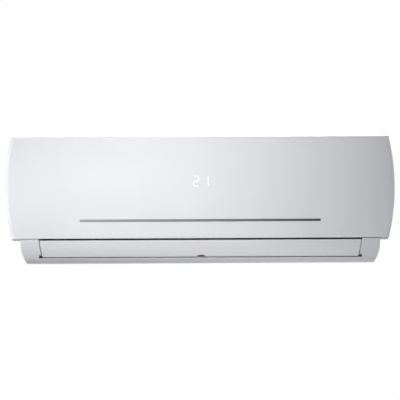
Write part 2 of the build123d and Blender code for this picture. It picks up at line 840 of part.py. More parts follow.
def mouth_blank():
    """Wall that closes the recess beside the duct, at the motor's end."""
    across_in = (CHEEK_IN[0] * BLANK_DEPTH, CHEEK_IN[1] * BLANK_DEPTH - BLANK_DROP)
    start = (CHEEK_TOP[0] + across_in[0], CHEEK_TOP[1] + across_in[1])
    end = (start[0] + CHEEK_DIR[0] * BLANK_RUN, start[1] + CHEEK_DIR[1] * BLANK_RUN)
    face = slab(start, end, FRONT_WALL)
    right = across(face, DUCT_RIGHT_X + DUCT_WALL + SEAT, FLAP_HALF_TOP + FLAP_GAP + CUT)
    return right


def window_grid():
    """(X, Z) face of the two filter windows less their bars."""
    post = CENTRE_POST / 2
    left = polygon(
        (WINDOW_LEFT_X, WINDOW_LOW_Z),
        (-post, WINDOW_LOW_Z),
        (-post, WINDOW_HIGH_Z),
        (WINDOW_LEFT_X, WINDOW_HIGH_Z),
    )
    right = polygon(
        (post, WINDOW_LOW_Z),
        (WINDOW_RIGHT_X, WINDOW_LOW_Z),
        (WINDOW_RIGHT_X, WINDOW_HIGH_Z),
        (post, WINDOW_HIGH_Z),
    )
    holes = left + right
    z_mid = (WINDOW_LOW_Z + WINDOW_HIGH_Z) / 2
    height = WINDOW_HIGH_Z - WINDOW_LOW_Z
    reach = int(-WINDOW_LEFT_X / GRID_PITCH_X)
    for i in range(-reach, reach + 1):
        holes -= Pos(i * GRID_PITCH_X, z_mid) * Rectangle(GRID_BAR, height + 2 * CUT)
    for j in (-0.5, 0.5):
        holes -= Pos(0, z_mid + j * GRID_PITCH_Z) * Rectangle(WIDTH, GRID_BAR)
    return holes - Pos(DIGIT_X, DIGIT_Z) * Rectangle(DISPLAY_WIDTH + DISPLAY_RIM, DISPLAY_HEIGHT + DISPLAY_RIM)


def hinge_ears():
    """Two ears on the casing's face that hold the panel's pins."""
    y, z = PANEL_HINGE
    foot_y = FACE_Y + CUT
    foot = polygon((y, z - EAR_FOOT), (foot_y, z - EAR_FOOT - 2), (foot_y, z - PANEL_PIN_R), (y, z))
    ear = make_hull([*sided(LUG_R, y, z).edges(), *foot.edges()])
    ear -= sided(PANEL_PIN_R + PIN_GAP, y, z)
    right = across(ear, EAR_X, EAR_X + EAR_WALL)
    return right + mirror(right, Plane.YZ)


def filter_guides():
    """Channels behind the casing's face in which the filters run."""
    y_front = FACE_Y + FRONT_WALL - GUIDE_SINK
    y_rear = FILTER_REAR_Y + SEAT
    guides = None
    for x_edge, toward in filter_edges():
        outer = x_edge - toward * SEAT
        side = sorted((outer, outer - toward * GUIDE_WALL))
        lip = sorted((outer - toward * GUIDE_WALL, outer + toward * GUIDE_OVER))
        over_tray = COIL_FRONT_LOW_Z + TRAY_FRONT_RISE + RUN_GAP
        channel = block(side, (y_front, y_rear), (FILTER_LOW_Z, FACE_TOP_Z - GUIDE_SHORT))
        channel += block(lip, (y_rear - SEAT, y_rear + GUIDE_LIP), (over_tray, FACE_TOP_Z - GUIDE_SHORT))
        channel += block(lip, (y_front, y_rear), (FILTER_LOW_Z - SEAT - GUIDE_STOP, FILTER_LOW_Z - SEAT))
        guides = channel if guides is None else guides + channel
    return guides


def filter_edges():
    """X of each filter's two upright edges, with the direction into the filter."""
    return (
        (FILTER_LEFT[0], 1),
        (FILTER_LEFT[1], -1),
        (FILTER_RIGHT[0], 1),
        (FILTER_RIGHT[1], -1),
    )


def top_opening():
    """Cut-outs of the casing's top: two filter slots and the intake."""
    over = (CASING_TOP_Z - WALL - GRILLE_FRAME, CASING_TOP_Z + CUT)
    cut = None
    for low, high in (FILTER_LEFT, FILTER_RIGHT):
        y = (FILTER_Y - SLOT_GAP, FILTER_REAR_Y + SLOT_GAP)
        slot = block((low - SLOT_GAP, high + SLOT_GAP), y, over)
        cut = slot if cut is None else cut + slot
    return cut + block((-INTAKE_HALF, INTAKE_HALF), (INTAKE_FRONT_Y, INTAKE_REAR_Y), over)


def front_casing():
    """Moulded frame of the unit: shoulders, face, lower cheeks and lip."""
    body = casing_shell()
    mouth = rearward(mouth_outline(FLAP_GAP), -DEPTH, FACE_Y + FRONT_WALL + MOUTH_PAST)
    top_edge = Rectangle(2 * (FLAP_HALF_TOP + FLAP_GAP), 2 * MOUTH_PAST)
    mouth += rearward(Pos(0, FLAP_TOP_Z) * top_edge, -DEPTH, FACE_Y - MOUTH_PAST)
    body -= mouth
    half = FLAP_HALF_TOP + FLAP_GAP
    behind = (FACE_Y - MOUTH_PAST, FLOOR_END_Y - SEAT)
    body -= block((-half, half), behind, (FLAP_LOW_Z - 2 * CUT, CHEEK_TOP[1] + MOUTH_PAST))
    body += casing_lip()
    lip_half = FLAP_HALF_LOW + FLAP_GAP
    body -= across(lip_edge(), -lip_half, lip_half)
    body += cheek_walls()
    body += mouth_blank()
    for side in (-1, 1):
        x_in, x_out = half - CUT - BUSH_PROUD, half + WALL + SEAT
        body -= across(sided(BUSH_R + SEAT / 2, *FLAP_HINGE), *sorted((side * x_in, side * x_out)))
    body -= rearward(window_grid(), FACE_Y - CUT, FACE_Y + FRONT_WALL + CUT)
    body -= top_opening()
    body += hinge_ears()
    body += filter_guides()
    body += casing_tabs()
    under = (-CHASSIS_LOW_HALF - SEAT, CHASSIS_LOW_HALF + SEAT)
    body -= block(under, (UNDERSIDE_END_Y, CUT), (BOTTOM_Z - CUT, SHOULDER_Z - SHOULDER_IN - CUT))
    body -= rearward(disc(BUTTON_R + SEAT, BUTTON_X, BUTTON_Z), FACE_Y - CUT, FACE_Y + FRONT_WALL + CUT)
    return body - pipe_outlet()


def pipe_outlet():
    """Notch in the casing's left wall, through which the pipes leave."""
    return block((-HALF, -CHASSIS_LOW_HALF), (-OUTLET_DEPTH, CUT), (OUTLET_LOW_Z, OUTLET_HIGH_Z))


# ---- top grille ----
def top_intake_grille():
    """Slatted insert in the casing's top opening."""
    x_half = INTAKE_HALF - SEAT
    y_front, y_rear = INTAKE_FRONT_Y + SEAT, INTAKE_REAR_Y - SEAT
    face = polygon((-x_half, y_front), (x_half, y_front), (x_half, y_rear), (-x_half, y_rear))
    cell_x = (2 * x_half - GRILLE_FRAME) / GRILLE_COLUMNS
    cell_y = (y_rear - y_front - GRILLE_FRAME) / GRILLE_ROWS
    slots = GridLocations(cell_x, cell_y, GRILLE_COLUMNS, GRILLE_ROWS)
    hole = Rectangle(cell_x - GRILLE_BAR, cell_y - GRILLE_SLAT)
    y_mid = (y_front + y_rear) / 2
    face -= [Pos(0, y_mid) * spot * hole for spot in slots]
    return upward(face, CASING_TOP_Z - GRILLE_THICK, CASING_TOP_Z - SEAT)


# ---- air filters ----
def air_filter(span):
    """Framed mesh that slides in the casing's guides, with a grip edge at its top."""
    low, high = span
    z_top = CASING_TOP_Z + FILTER_TAB
    rear = FILTER_REAR_Y
    body = block(span, (FILTER_Y, rear), (FILTER_LOW_Z, z_top))
    mesh_mid = (FILTER_Y + rear) / 2
    columns = round((high - low) / GRID_PITCH_X)
    cell_x = (high - low - FILTER_EDGE) / columns
    cell_z = (FACE_TOP_Z - FILTER_GRIP - FILTER_LOW_Z - FILTER_EDGE) / FILTER_ROWS
    z_mid = (FACE_TOP_Z - FILTER_GRIP + FILTER_LOW_Z) / 2
    cells = GridLocations(cell_x, cell_z, columns, FILTER_ROWS)
    cell = Rectangle(cell_x - FILTER_BAR, cell_z - FILTER_BAR)
    pockets = [Pos((low + high) / 2, z_mid) * spot * cell for spot in cells]
    for pocket in pockets:
        body -= rearward(pocket, FILTER_Y - CUT, mesh_mid - FILTER_FLOW / 2)
        body -= rearward(pocket, mesh_mid + FILTER_FLOW / 2, rear + CUT)
    return body


# ---- outlet flap ----
def flap_ring(depth_from, depth_to):
    """(Y, Z) ring that follows the flap's outer arc between two depths."""
    arc = cheek_arc()
    centre = arc.arc_center
    return disc(arc.radius - depth_from, centre.X, centre.Y) - disc(arc.radius - depth_to, centre.X, centre.Y)


def outlet_flap():
    """Flap with its hinge bead, pins and inner ribs, closed at rest."""
    y, z = FLAP_HINGE
    half = FLAP_HALF_LOW
    front = rearward(mouth_outline(0), -DEPTH, y + FLAP_BEAD_R)
    skin = across(flap_ring(0, FLAP_WALL), -FLAP_HALF_TOP - CUT, FLAP_HALF_TOP + CUT) & front
    skin = max(skin.solids(), key=lambda solid: solid.volume)
    bead = rod_x(FLAP_BEAD_R, -half + RUN_GAP, half - RUN_GAP, y, z)
    rib_limits = (FLAP_LOW_Z + FLAP_HINGE_BACK, FLAP_TOP_Z - FLAP_RIB)
    rib_zone = block((-half, half), (-DEPTH, y + CUT), rib_limits)
    body = skin + bead
    rib_face = flap_ring(FLAP_WALL / 2, FLAP_WALL + FLAP_RIB)
    pitch = 2 * (half - FLAP_RIB_IN) / (FLAP_RIB_COUNT - 1)
    for i in range(FLAP_RIB_COUNT):
        x = FLAP_RIB_IN - half + i * pitch
        body += across(rib_face, x - RIB_WALL / 2, x + RIB_WALL / 2) & rib_zone
    notch_x = (NOTCH_X - NOTCH_WIDTH / 2, NOTCH_X + NOTCH_WIDTH / 2)
    body -= block(notch_x, (-DEPTH, y + TROUGH_R), (FLAP_LOW_Z - CUT, FLAP_LOW_Z + NOTCH_HEIGHT))
    body -= rod_x(FLAP_BEAD_R + SEAT, *notch_x, y, z)
    body += rod_x(CLIP_PIN_R, notch_x[0] - CUT, notch_x[1] + CUT, y, z)
    body += rod_x(FLAP_PIN_R, -FLAP_HALF_TOP - FLAP_GAP - WALL, -half + 2 * RUN_GAP, y, z)
    body -= rod_x(FLAP_PIN_R + SOCKET_GAP, half - RUN_GAP - SOCKET_DEPTH, FLAP_HALF_TOP, y, z)
    return body


def flap_middle_bearing():
    """Open clip on the lip that holds the flap's middle pin from behind."""
    y, z = FLAP_HINGE
    ring = disc(CLIP_R, y, z) - disc(CLIP_PIN_R + PIN_GAP, y, z)
    mouth = Rectangle(CLIP_R + CLIP_OPEN, 2 * CLIP_R, align=(Align.MAX, Align.CENTER))
    ring -= Pos(y + CLIP_OPEN, z) * mouth
    foot_y = y + TROUGH_R + CUT
    foot_z = floor_z(foot_y) + SEAT
    rear_y = foot_y + CLIP_FOOT
    rear_z = floor_z(rear_y) + SEAT
    arm = polygon(
        (y + CLIP_PIN_R, z - CLIP_ARM / 2),
        (foot_y, foot_z),
        (rear_y, rear_z),
        (rear_y, rear_z + CLIP_ARM),
        (y + CLIP_PIN_R, z + CLIP_ARM),
    )
    arm -= disc(CLIP_PIN_R + PIN_GAP, y, z)
    return across(ring + arm, NOTCH_X - CLIP_WIDTH / 2, NOTCH_X + CLIP_WIDTH / 2)


def flap_end_bushes():
    """Bushes in the recess's side walls, one at each end."""
    x_in = FLAP_HALF_TOP + FLAP_GAP
    ring = sided(BUSH_R, *FLAP_HINGE) - disc(FLAP_PIN_R + PIN_GAP, *FLAP_HINGE)
    bush = across(ring, x_in - BUSH_PROUD, x_in + WALL)
    return Compound([bush.solids()[0], mirror(bush, Plane.YZ).solids()[0]])


def flap_step_motor():
    """Geared step motor with its two mounting ears, beside the recess."""
    y, z = FLAP_HINGE
    x_from = FLAP_HALF_TOP + FLAP_GAP + WALL + SEAT
    mid_y, mid_z = y + STEP_OFFSET[0], z + STEP_OFFSET[1]
    body = rod_x(STEP_R, x_from, x_from + STEP_LENGTH, mid_y, mid_z)
    reach = (CHEEK_DIR[0] * EAR_REACH, CHEEK_DIR[1] * EAR_REACH)
    ears = slab((mid_y - reach[0], mid_z - reach[1]), (mid_y + reach[0], mid_z + reach[1]), MOTOR_EAR_WIDTH)
    body += across(ears, x_from, x_from + MOTOR_EAR_WALL)
    return body - across(sided(FLAP_PIN_R + PIN_GAP, y, z), x_from - CUT, x_from + SHAFT_IN_MOTOR + CUT)


def flap_motor_shaft():
    """Output shaft between the step motor and the flap's end socket."""
    x_from = FLAP_HALF_LOW - SOCKET_DEPTH
    x_to = FLAP_HALF_TOP + FLAP_GAP + WALL + SEAT + SHAFT_IN_MOTOR
    return rod_x(FLAP_PIN_R, x_from, x_to, *FLAP_HINGE)


# ---- cross-flow fan ----
def blade_face(turn):
    """(Y, Z) section of one blade, leaning with the rotation."""
    inner = FAN_R - BLADE_DEPTH - BLADE_IN
    outer = FAN_R - BLADE_IN
    lean = math.radians(BLADE_LEAN)
    start = (inner * math.cos(turn), inner * math.sin(turn))
    end = (outer * math.cos(turn + lean / 2), outer * math.sin(turn + lean / 2))
    return slab(start, end, BLADE_WALL)


def cross_flow_fan():
    """Drum of blades on rings, with a hub in each end disc."""
    rotor = None
    step = (FAN_RIGHT_X - FAN_LEFT_X - DISC_WALL) / FAN_SEGMENTS
    place = Pos(FAN_Y, FAN_Z)
    blades = [
        across(place * blade_face(2 * math.pi * i / FAN_BLADES), FAN_LEFT_X + CUT, FAN_RIGHT_X - CUT)
        for i in range(FAN_BLADES)
    ]
    ring = Circle(FAN_R) - Circle(FAN_R - BLADE_DEPTH - FAN_RING_OVER)
    discs = []
    for i in range(FAN_SEGMENTS + 1):
        x = FAN_LEFT_X + i * step
        end = i in (0, FAN_SEGMENTS)
        bore = FAN_SHAFT_R + SOCKET_GAP
        face = Circle(FAN_R) - Circle(bore) if end else ring
        discs.append(across(place * face, x, x + DISC_WALL))
    left_hub = tube_x(FAN_HUB_R, FAN_SHAFT_R + SOCKET_GAP, FAN_LEFT_X, FAN_LEFT_X + HUB_LENGTH, FAN_Y, FAN_Z)
    right_hub = tube_x(FAN_HUB_R, FAN_SHAFT_R + SOCKET_GAP, FAN_RIGHT_X - HUB_LENGTH, FAN_RIGHT_X, FAN_Y, FAN_Z)
    rotor = discs[0].fuse(*discs[1:], *blades, left_hub, right_hub)
    return rotor


def fan_end_shaft():
    """Stub shaft of the fan's free end."""
    return rod_x(FAN_SHAFT_R, FAN_LEFT_X - END_SHAFT_OUT, FAN_LEFT_X + HUB_LENGTH - CUT, FAN_Y, FAN_Z)


def bearing_x():
    """X limits of the bearing, outside the duct's left wall."""
    right = DUCT_LEFT_X - SIDE_PLATE_WALL - SEAT
    return right - BEARING_LENGTH, right


def fan_bearing_bush():
    """Bush round the fan's end shaft."""
    face = sided(BEARING_R, FAN_Y, FAN_Z, RING_SIDES) - disc(FAN_SHAFT_R + SOCKET_GAP * 3, FAN_Y, FAN_Z)
    return across(face, *bearing_x())


def fan_bearing_cup():
    """Rubber cup round the bush."""
    face = sided(CUP_R, FAN_Y, FAN_Z, RING_SIDES) - sided(BEARING_R, FAN_Y, FAN_Z, RING_SIDES)
    return across(face, *bearing_x())


def fan_motor():
    """Motor can with a boss at each end."""
    x_from, x_to = MOTOR_LEFT_X, MOTOR_LEFT_X + MOTOR_LENGTH
    body = rod_x(MOTOR_R, x_from, x_to, FAN_Y, FAN_Z)
    boss = sided(MOTOR_BOSS_R, FAN_Y, FAN_Z, RING_SIDES)
    body += across(boss, x_from - BOSS_LENGTH, x_to + BOSS_LENGTH)
    body -= rod_x(FAN_SHAFT_R + PIN_GAP, x_from - MOTOR_R, x_to + MOTOR_R, FAN_Y, FAN_Z)
    return body


def fan_motor_shaft():
    """Motor shaft that drives the fan's hub."""
    x_to = MOTOR_LEFT_X + MOTOR_LENGTH + BOSS_LENGTH - 2 * CUT
    return rod_x(FAN_SHAFT_R, FAN_RIGHT_X - HUB_LENGTH + CUT, x_to, FAN_Y, FAN_Z)


def rubber_spans():
    """X limits of the motor's two rubber rings."""
    x_from, x_to = MOTOR_LEFT_X, MOTOR_LEFT_X + MOTOR_LENGTH
    return (
        (x_from - BOSS_LENGTH + CUT / 2, x_from - SEAT),
        (x_to + SEAT, x_to + BOSS_LENGTH - CUT / 2),
    )


def fan_motor_rubbers():
    """Rubber ring on each of the motor's bosses."""
    face = sided(RUBBER_R, FAN_Y, FAN_Z, RING_SIDES) - sided(MOTOR_BOSS_R, FAN_Y, FAN_Z, RING_SIDES)
    rings = [across(face, *span) for span in rubber_spans()]
    return Compound([ring.solids()[0] for ring in rings])


def cradle_spans():
    """X limits of the cradle plates that hold the rubber rings."""
    return [(low + CRADLE_IN, low + CRADLE_IN + CRADLE_WALL) for low, high in rubber_spans()]


def fan_motor_cover():
    """Upper half of the motor's clamp: two arches and the bridge between them."""
    arch = sided(MOTOR_R + COVER_RISE, FAN_Y, FAN_Z, RING_SIDES)
    arch -= sided(RUBBER_R + SEAT, FAN_Y, FAN_Z, RING_SIDES)
    reach = MOTOR_R + COVER_REACH
    arch &= polygon(
        (FAN_Y - reach, FAN_Z + SEAT),
        (FAN_Y + reach, FAN_Z + SEAT),
        (FAN_Y + reach, FAN_Z + reach),
        (FAN_Y - reach, FAN_Z + reach),
    )
    spans = cradle_spans()
    cover = across(arch, *spans[0]) + across(arch, *spans[1])
    bridge_z = FAN_Z + MOTOR_R + BRIDGE_RISE
    bridge_y = (FAN_Y - BRIDGE_WIDTH / 2, FAN_Y + BRIDGE_WIDTH / 2)
    return cover + block((spans[0][0], spans[1][1]), bridge_y, (bridge_z, bridge_z + WALL))


# ---- rear chassis ----
def scroll_face():
    """(Y, Z) section of the scroll and duct floor as one wall."""
    upper, lower = SCROLL_UPPER_C, SCROLL_LOWER_C
    turn = FLOOR_SLOPE - 90.0
    inner_up = CenterArc(upper, SCROLL_UPPER_R, 0, SCROLL_START)
    inner_low = CenterArc(lower, SCROLL_LOWER_R, 0, turn)
    outer_up = CenterArc(upper, SCROLL_UPPER_R + DUCT_WALL, 0, SCROLL_START)
    outer_low = CenterArc(lower, SCROLL_LOWER_R + DUCT_WALL, 0, turn)
    floor_in = (FLOOR_END_Y, floor_z(FLOOR_END_Y))
    slope = math.radians(FLOOR_SLOPE)
    out = (DUCT_WALL * math.sin(slope), -DUCT_WALL * math.cos(slope))
    floor_out = (floor_in[0] + out[0], floor_in[1] + out[1])
    return make_face(
        [
            inner_up,
            inner_low,
            Line(inner_low @ 1, floor_in),
            Line(floor_in, floor_out),
            Line(floor_out, outer_low @ 1),
            outer_low,
            outer_up,
            Line(outer_up @ 1, inner_up @ 1),
        ]
    )


def chassis_rib_face():
    """(Y, Z) web between the scroll's back and the back wall."""
    up = CenterArc(SCROLL_UPPER_C, SCROLL_UPPER_R + DUCT_WALL / 2, 0, WEB_UP_ANGLE)
    low = CenterArc(SCROLL_LOWER_C, SCROLL_LOWER_R + DUCT_WALL / 2, 0, WEB_LOW_ANGLE)
    back = BACK_Y - BACK_WALL / 2
    edge = Polyline(up @ 1, (back, (up @ 1).Y), (back, BACK_LOW_Z), (low @ 1))
    return make_face([up, low, edge])


def end_plate_face():
    """(Y, Z) outline of the duct's side walls, which also carry the evaporator."""
    back = BACK_Y - BACK_WALL / 2
    return polygon(
        (FLOOR_END_Y, floor_z(FLOOR_END_Y) - 1),
        (FLOOR_END_Y - 6, TRAY_NOSE[1] - 4),
        (COIL_FRONT_Y - 1, COIL_FRONT_LOW_Z - 14),
        (COIL_FRONT_Y - 1, COIL_FRONT_HIGH_Z + 4),
        (COIL_UPPER_TO[0] - 14, COIL_UPPER_TO[1] + 8),
        (COIL_REAR_FROM[0] + 8, COIL_REAR_FROM[1] + 9),
        (COIL_REAR_TO[0] + 12, COIL_REAR_TO[1] + 8),
        (back, COIL_REAR_TO[1] - 8),
        (back, BACK_LOW_Z),
        (UNDERSIDE_END_Y, BACK_LOW_Z - 6),
        (SCROLL_END[0], SCROLL_END[1] - 1),
    )


def rear_drip_shelf():
    """(Y, Z) trough under the rear part of the evaporator."""
    start = (SCROLL_UPPER_C[0] + SHELF_AT, FAN_Z + SCROLL_UPPER_R + SHELF_LIFT)
    return slab(start, (BACK_Y - BACK_WALL / 2, start[1] + SHELF_RISE), DUCT_WALL)


def pipe_channel_face():
    """(Y, Z) wall and bottom of the pipe channel behind the duct."""
    front = UNDERSIDE_END_Y + SEAT
    back = -WALL_GAP - 2 * CUT
    return polygon(
        (front, CHANNEL_HIGH_Z - WEB_WALL),
        (front, underside_z(front)),
        (back, underside_z(back)),
        (back, underside_z(back) + WALL),
        (front + WALL, underside_z(front) + WALL),
        (front + WALL, CHANNEL_HIGH_Z),
    )


def bearing_boss():
    """Ring on the duct's left wall round the bearing's rubber cup."""
    low, high = bearing_x()
    face = sided(CUP_R + CUP_RIM, FAN_Y, FAN_Z, RING_SIDES)
    face -= sided(CUP_R + SOCKET_GAP, FAN_Y, FAN_Z, RING_SIDES)
    return across(face, low, high + SEAT + SOCKET_GAP)


def motor_cradle():
    """Two plates on the back wall with half-round seats for the rubber rings."""
    back = BACK_Y - BACK_WALL / 2
    face = polygon(
        (back, BACK_LOW_Z),
        (back, FAN_Z),
        (FAN_Y - MOTOR_R - COVER_RISE, FAN_Z),
        (FAN_Y - MOTOR_R - COVER_RISE, BACK_LOW_Z),
    )
    face -= sided(RUBBER_R + SEAT, FAN_Y, FAN_Z, RING_SIDES)
    spans = cradle_spans()
    return across(face, *spans[0]) + across(face, *spans[1])


def chassis_holes(body):
    """Cuts the shaft holes, pipe holes, hook slots and screw holes."""
    left = (DUCT_LEFT_X - SIDE_PLATE_WALL - CUT, DUCT_LEFT_X + CUT)
    right = (DUCT_RIGHT_X - CUT, DUCT_RIGHT_X + SIDE_PLATE_WALL + CUT)
    body -= across(sided(CUP_R - CUP_RIM, FAN_Y, FAN_Z, RING_SIDES), *left)
    body -= across(sided(FAN_HUB_R + 2 * RUN_GAP, FAN_Y, FAN_Z, RING_SIDES), *right)
    for span in (left, right):
        body -= across(sided(NIPPLE_R + SEAT, *NIPPLE_AT), *span)
    for pipe_z in (GAS_LEVEL, LIQUID_LEVEL):
        body -= across(sided(PIPE_HOLE_R, PIPE_BEHIND_Y, pipe_z), *right)
    for x in HOOK_XS:
        wide = (x - HOOK_WIDTH / 2 - RUN_GAP, x + HOOK_WIDTH / 2 + RUN_GAP)
        body -= block(wide, (BACK_Y - BACK_WALL - CUT, BACK_Y + CUT), (HOOK_SLOT_LOW, HOOK_Z))
    for x in vane_stations():
        hole = sided(VANE_PIN_R + PIN_GAP, 0, 0)
        body -= vane_place(x) * extrude(Plane.XY.offset(-2 * DUCT_WALL) * hole, 3 * DUCT_WALL)
    floor_x = (PIPE_DOWN_X - PIPE_ROOM, PIPE_DOWN_X + PIPE_GAP_X + PIPE_ROOM)
    floor_y = (PIPE_BEHIND_Y - PIPE_ROOM, PIPE_BEHIND_Y + PIPE_ROOM)
    return body - block(floor_x, floor_y, (BACK_LOW_Z - 2 * WALL, BACK_LOW_Z + CUT))


def rear_chassis():
    """Moulded base: back wall, scroll, duct floor, side walls, motor cradle, pipe channel."""
    back = (BACK_Y - BACK_WALL, BACK_Y)
    x_left, x_right = DUCT_LEFT_X, DUCT_RIGHT_X
    body = block((-BACK_HALF, BACK_HALF), back, (BACK_LOW_Z, BACK_TOP_Z))
    body += across(scroll_face(), x_left, x_right)
    body += across(rear_drip_shelf(), x_left, x_right)
    plate = end_plate_face()
    body += across(plate, x_left - SIDE_PLATE_WALL, x_left)
    body += across(plate, x_right, x_right + SIDE_PLATE_WALL)
    for i in range(1, CHASSIS_RIBS + 1):
        x = x_left + i * (x_right - x_left) / (CHASSIS_RIBS + 1)
        body += across(chassis_rib_face(), x - WEB_WALL / 2, x + WEB_WALL / 2)
    body += across(pipe_channel_face(), -CHASSIS_LOW_HALF, CHASSIS_LOW_HALF)
    front = UNDERSIDE_END_Y + SEAT
    for limits in ((-CHASSIS_LOW_HALF, x_left), (x_right, CHASSIS_LOW_HALF)):
        body += block(limits, (FAN_Y - MOTOR_R - COVER_RISE, back[1]), (BACK_LOW_Z - WALL, BACK_LOW_Z))
        body += block(limits, (front, front + WALL), (CHANNEL_HIGH_Z - WALL - CUT, BACK_LOW_Z))
    rim_y = (back[0], -WALL_GAP)
    rim_top = CASING_TOP_Z - WALL - SEAT
    body += block((-BACK_HALF, BACK_HALF), rim_y, (rim_top - RIM_HEIGHT, rim_top))
    for side in (-1, 1):
        wide = sorted((side * BACK_HALF, side * (BACK_HALF - WALL)))
        body += block(wide, rim_y, (BACK_LOW_Z, BACK_TOP_Z))
    body += bearing_boss()
    body += motor_cradle()
    body += centre_rib()
    return chassis_holes(body)


def centre_rib():
    """Rib across the duct between the two groups of vanes."""
    rear_y = VANE_Y + PARTING_REAR
    face = polygon(
        (FLOOR_END_Y, floor_z(FLOOR_END_Y) - CUT),
        (rear_y, floor_z(rear_y) - CUT),
        (rear_y, floor_z(rear_y) + PARTING_HIGH),
        (FLOOR_END_Y, floor_z(FLOOR_END_Y) + PARTING_HIGH + 2 * CUT),
    )
    return across(face, NOTCH_X - PARTING_WALL / 2, NOTCH_X + PARTING_WALL / 2)


# ---- wall plate ----
def wall_plate():
    """Pressed steel plate with screw holes, upper hooks and lower catches."""
    outline_face = polygon(
        (-PLATE_HALF, PLATE_LOW_Z),
        (-PLATE_HALF, PLATE_HIGH_Z - PLATE_CORNER),
        (-PLATE_HALF + PLATE_CORNER, PLATE_HIGH_Z),
        (PLATE_HALF - PLATE_CORNER, PLATE_HIGH_Z),
        (PLATE_HALF, PLATE_HIGH_Z - PLATE_CORNER),
        (PLATE_HALF, PLATE_LOW_Z),
    )
    outline_face -= [
        Pos(x, z) * Circle(WALL_SCREW_R)
        for x in (-SCREW_SPAN_X / 2, SCREW_SPAN_X / 2)
        for z in (-SCREW_SPAN_Z / 2, SCREW_SPAN_Z / 2)
    ]
    outline_face -= [Pos(x, PLATE_HOLE_Z) * Rectangle(*PLATE_HOLE) for x in PLATE_HOLE_XS]
    plate = rearward(outline_face, -PLATE_WALL, 0)
    for x in HOOK_XS:
        wide = (x - HOOK_WIDTH / 2, x + HOOK_WIDTH / 2)
        reach = BACK_Y - BACK_WALL - HOOK_CLEAR
        plate += block(wide, (reach - HOOK_WALL, -PLATE_WALL / 2), (HOOK_Z - HOOK_WALL, HOOK_Z))
        plate += block(wide, (reach - HOOK_WALL, reach), (HOOK_Z - HOOK_WALL, HOOK_Z + HOOK_RISE))
        low_z = underside_z(-WALL_GAP) + WALL + HOOK_CLEAR
        plate += block(wide, (-PLATE_WALL, 0), (low_z, PLATE_LOW_Z + CUT))
        plate += block(wide, (-CATCH_REACH, -PLATE_WALL / 2), (low_z, low_z + PLATE_WALL))
    return plate


# ---- drain tray ----
def drain_tray():
    """Tray under the front of the evaporator; its underside is the duct's roof."""
    tongue = math.radians(205)
    reach = FAN_R + TONGUE_GAP
    tip = (FAN_Y + reach * math.cos(tongue), FAN_Z + reach * math.sin(tongue))
    low = NIPPLE_AT[1] - NIPPLE_R
    front = FILTER_REAR_Y + SEAT
    face = polygon(
        (front, COIL_FRONT_LOW_Z + TRAY_FRONT_RISE),
        (front, low - TRAY_FLOOR - TRAY_WALL),
        (TRAY_NOSE[0], TRAY_NOSE[1] + WALL),
        TRAY_NOSE,
        (FLOOR_END_Y + TRAY_KNEE, low - 2 * (TRAY_FLOOR + TRAY_WALL)),
        tip,
        (tip[0] - TRAY_BACK, COIL_FRONT_LOW_Z + TRAY_FRONT_RISE),
        (tip[0] - TRAY_BACK - TRAY_WALL, COIL_FRONT_LOW_Z + TRAY_FRONT_RISE),
        (tip[0] - TRAY_BACK - TRAY_WALL, low + TRAY_FLOOR),
        (COIL_FRONT_Y - SEAT, low + TRAY_FLOOR),
        (COIL_FRONT_Y - SEAT, COIL_FRONT_LOW_Z + TRAY_FRONT_RISE),
    )
    x_left, x_right = DUCT_LEFT_X + SEAT, DUCT_RIGHT_X - SEAT
    tray = across(face, x_left, x_right)
    full = polygon(
        (front, COIL_FRONT_LOW_Z + TRAY_FRONT_RISE),
        (front, low - TRAY_FLOOR),
        (tip[0] - TRAY_BACK - TRAY_FLOOR, low - TRAY_FLOOR),
        (tip[0] - TRAY_BACK - TRAY_FLOOR, COIL_FRONT_LOW_Z + TRAY_FRONT_RISE),
    )
    tray += across(full, x_left, x_left + TRAY_WALL) + across(full, x_right - TRAY_WALL, x_right)
    tray += rod_x(NIPPLE_R, x_left - NIPPLE_LENGTH, x_left + CUT, *NIPPLE_AT)
    tray -= rod_x(NIPPLE_BORE, x_left - NIPPLE_LENGTH - CUT, x_left + TRAY_WALL + CUT, *NIPPLE_AT)
    outlet = sided(NIPPLE_R, *NIPPLE_AT)
    tray += across(outlet, x_right - CUT, x_right + PLUG_REACH)
    spare = sided(NIPPLE_BORE, *NIPPLE_AT)
    return tray - across(spare, x_right - TRAY_WALL - CUT, x_right + PLUG_REACH + CUT)


def drain_plug():
    """Rubber plug in the spare drain outlet."""
    x_end = DUCT_RIGHT_X - SEAT + PLUG_REACH
    plug = across(sided(NIPPLE_BORE, *NIPPLE_AT), x_end - 2 * PLUG_HEAD, x_end)
    return plug + across(sided(NIPPLE_R, *NIPPLE_AT), x_end, x_end + PLUG_HEAD)


# ---- air vanes ----
def vane_place(x):
    """Place on the duct floor at a vane's pivot: X across, Z square to the floor."""
    slope = math.radians(FLOOR_SLOPE)
    normal = (0, -math.sin(slope), math.cos(slope))
    return Plane(origin=(x, VANE_Y, floor_z(VANE_Y)), x_dir=(1, 0, 0), z_dir=normal)


def vane_group(x_mid):
    """X of the pivots of one group."""
    first = x_mid - VANE_PITCH * (VANES_PER_GROUP - 1) / 2
    return [first + VANE_PITCH * i for i in range(VANES_PER_GROUP)]


def vane_stations():
    return vane_group(LEFT_GROUP_X) + vane_group(RIGHT_GROUP_X)


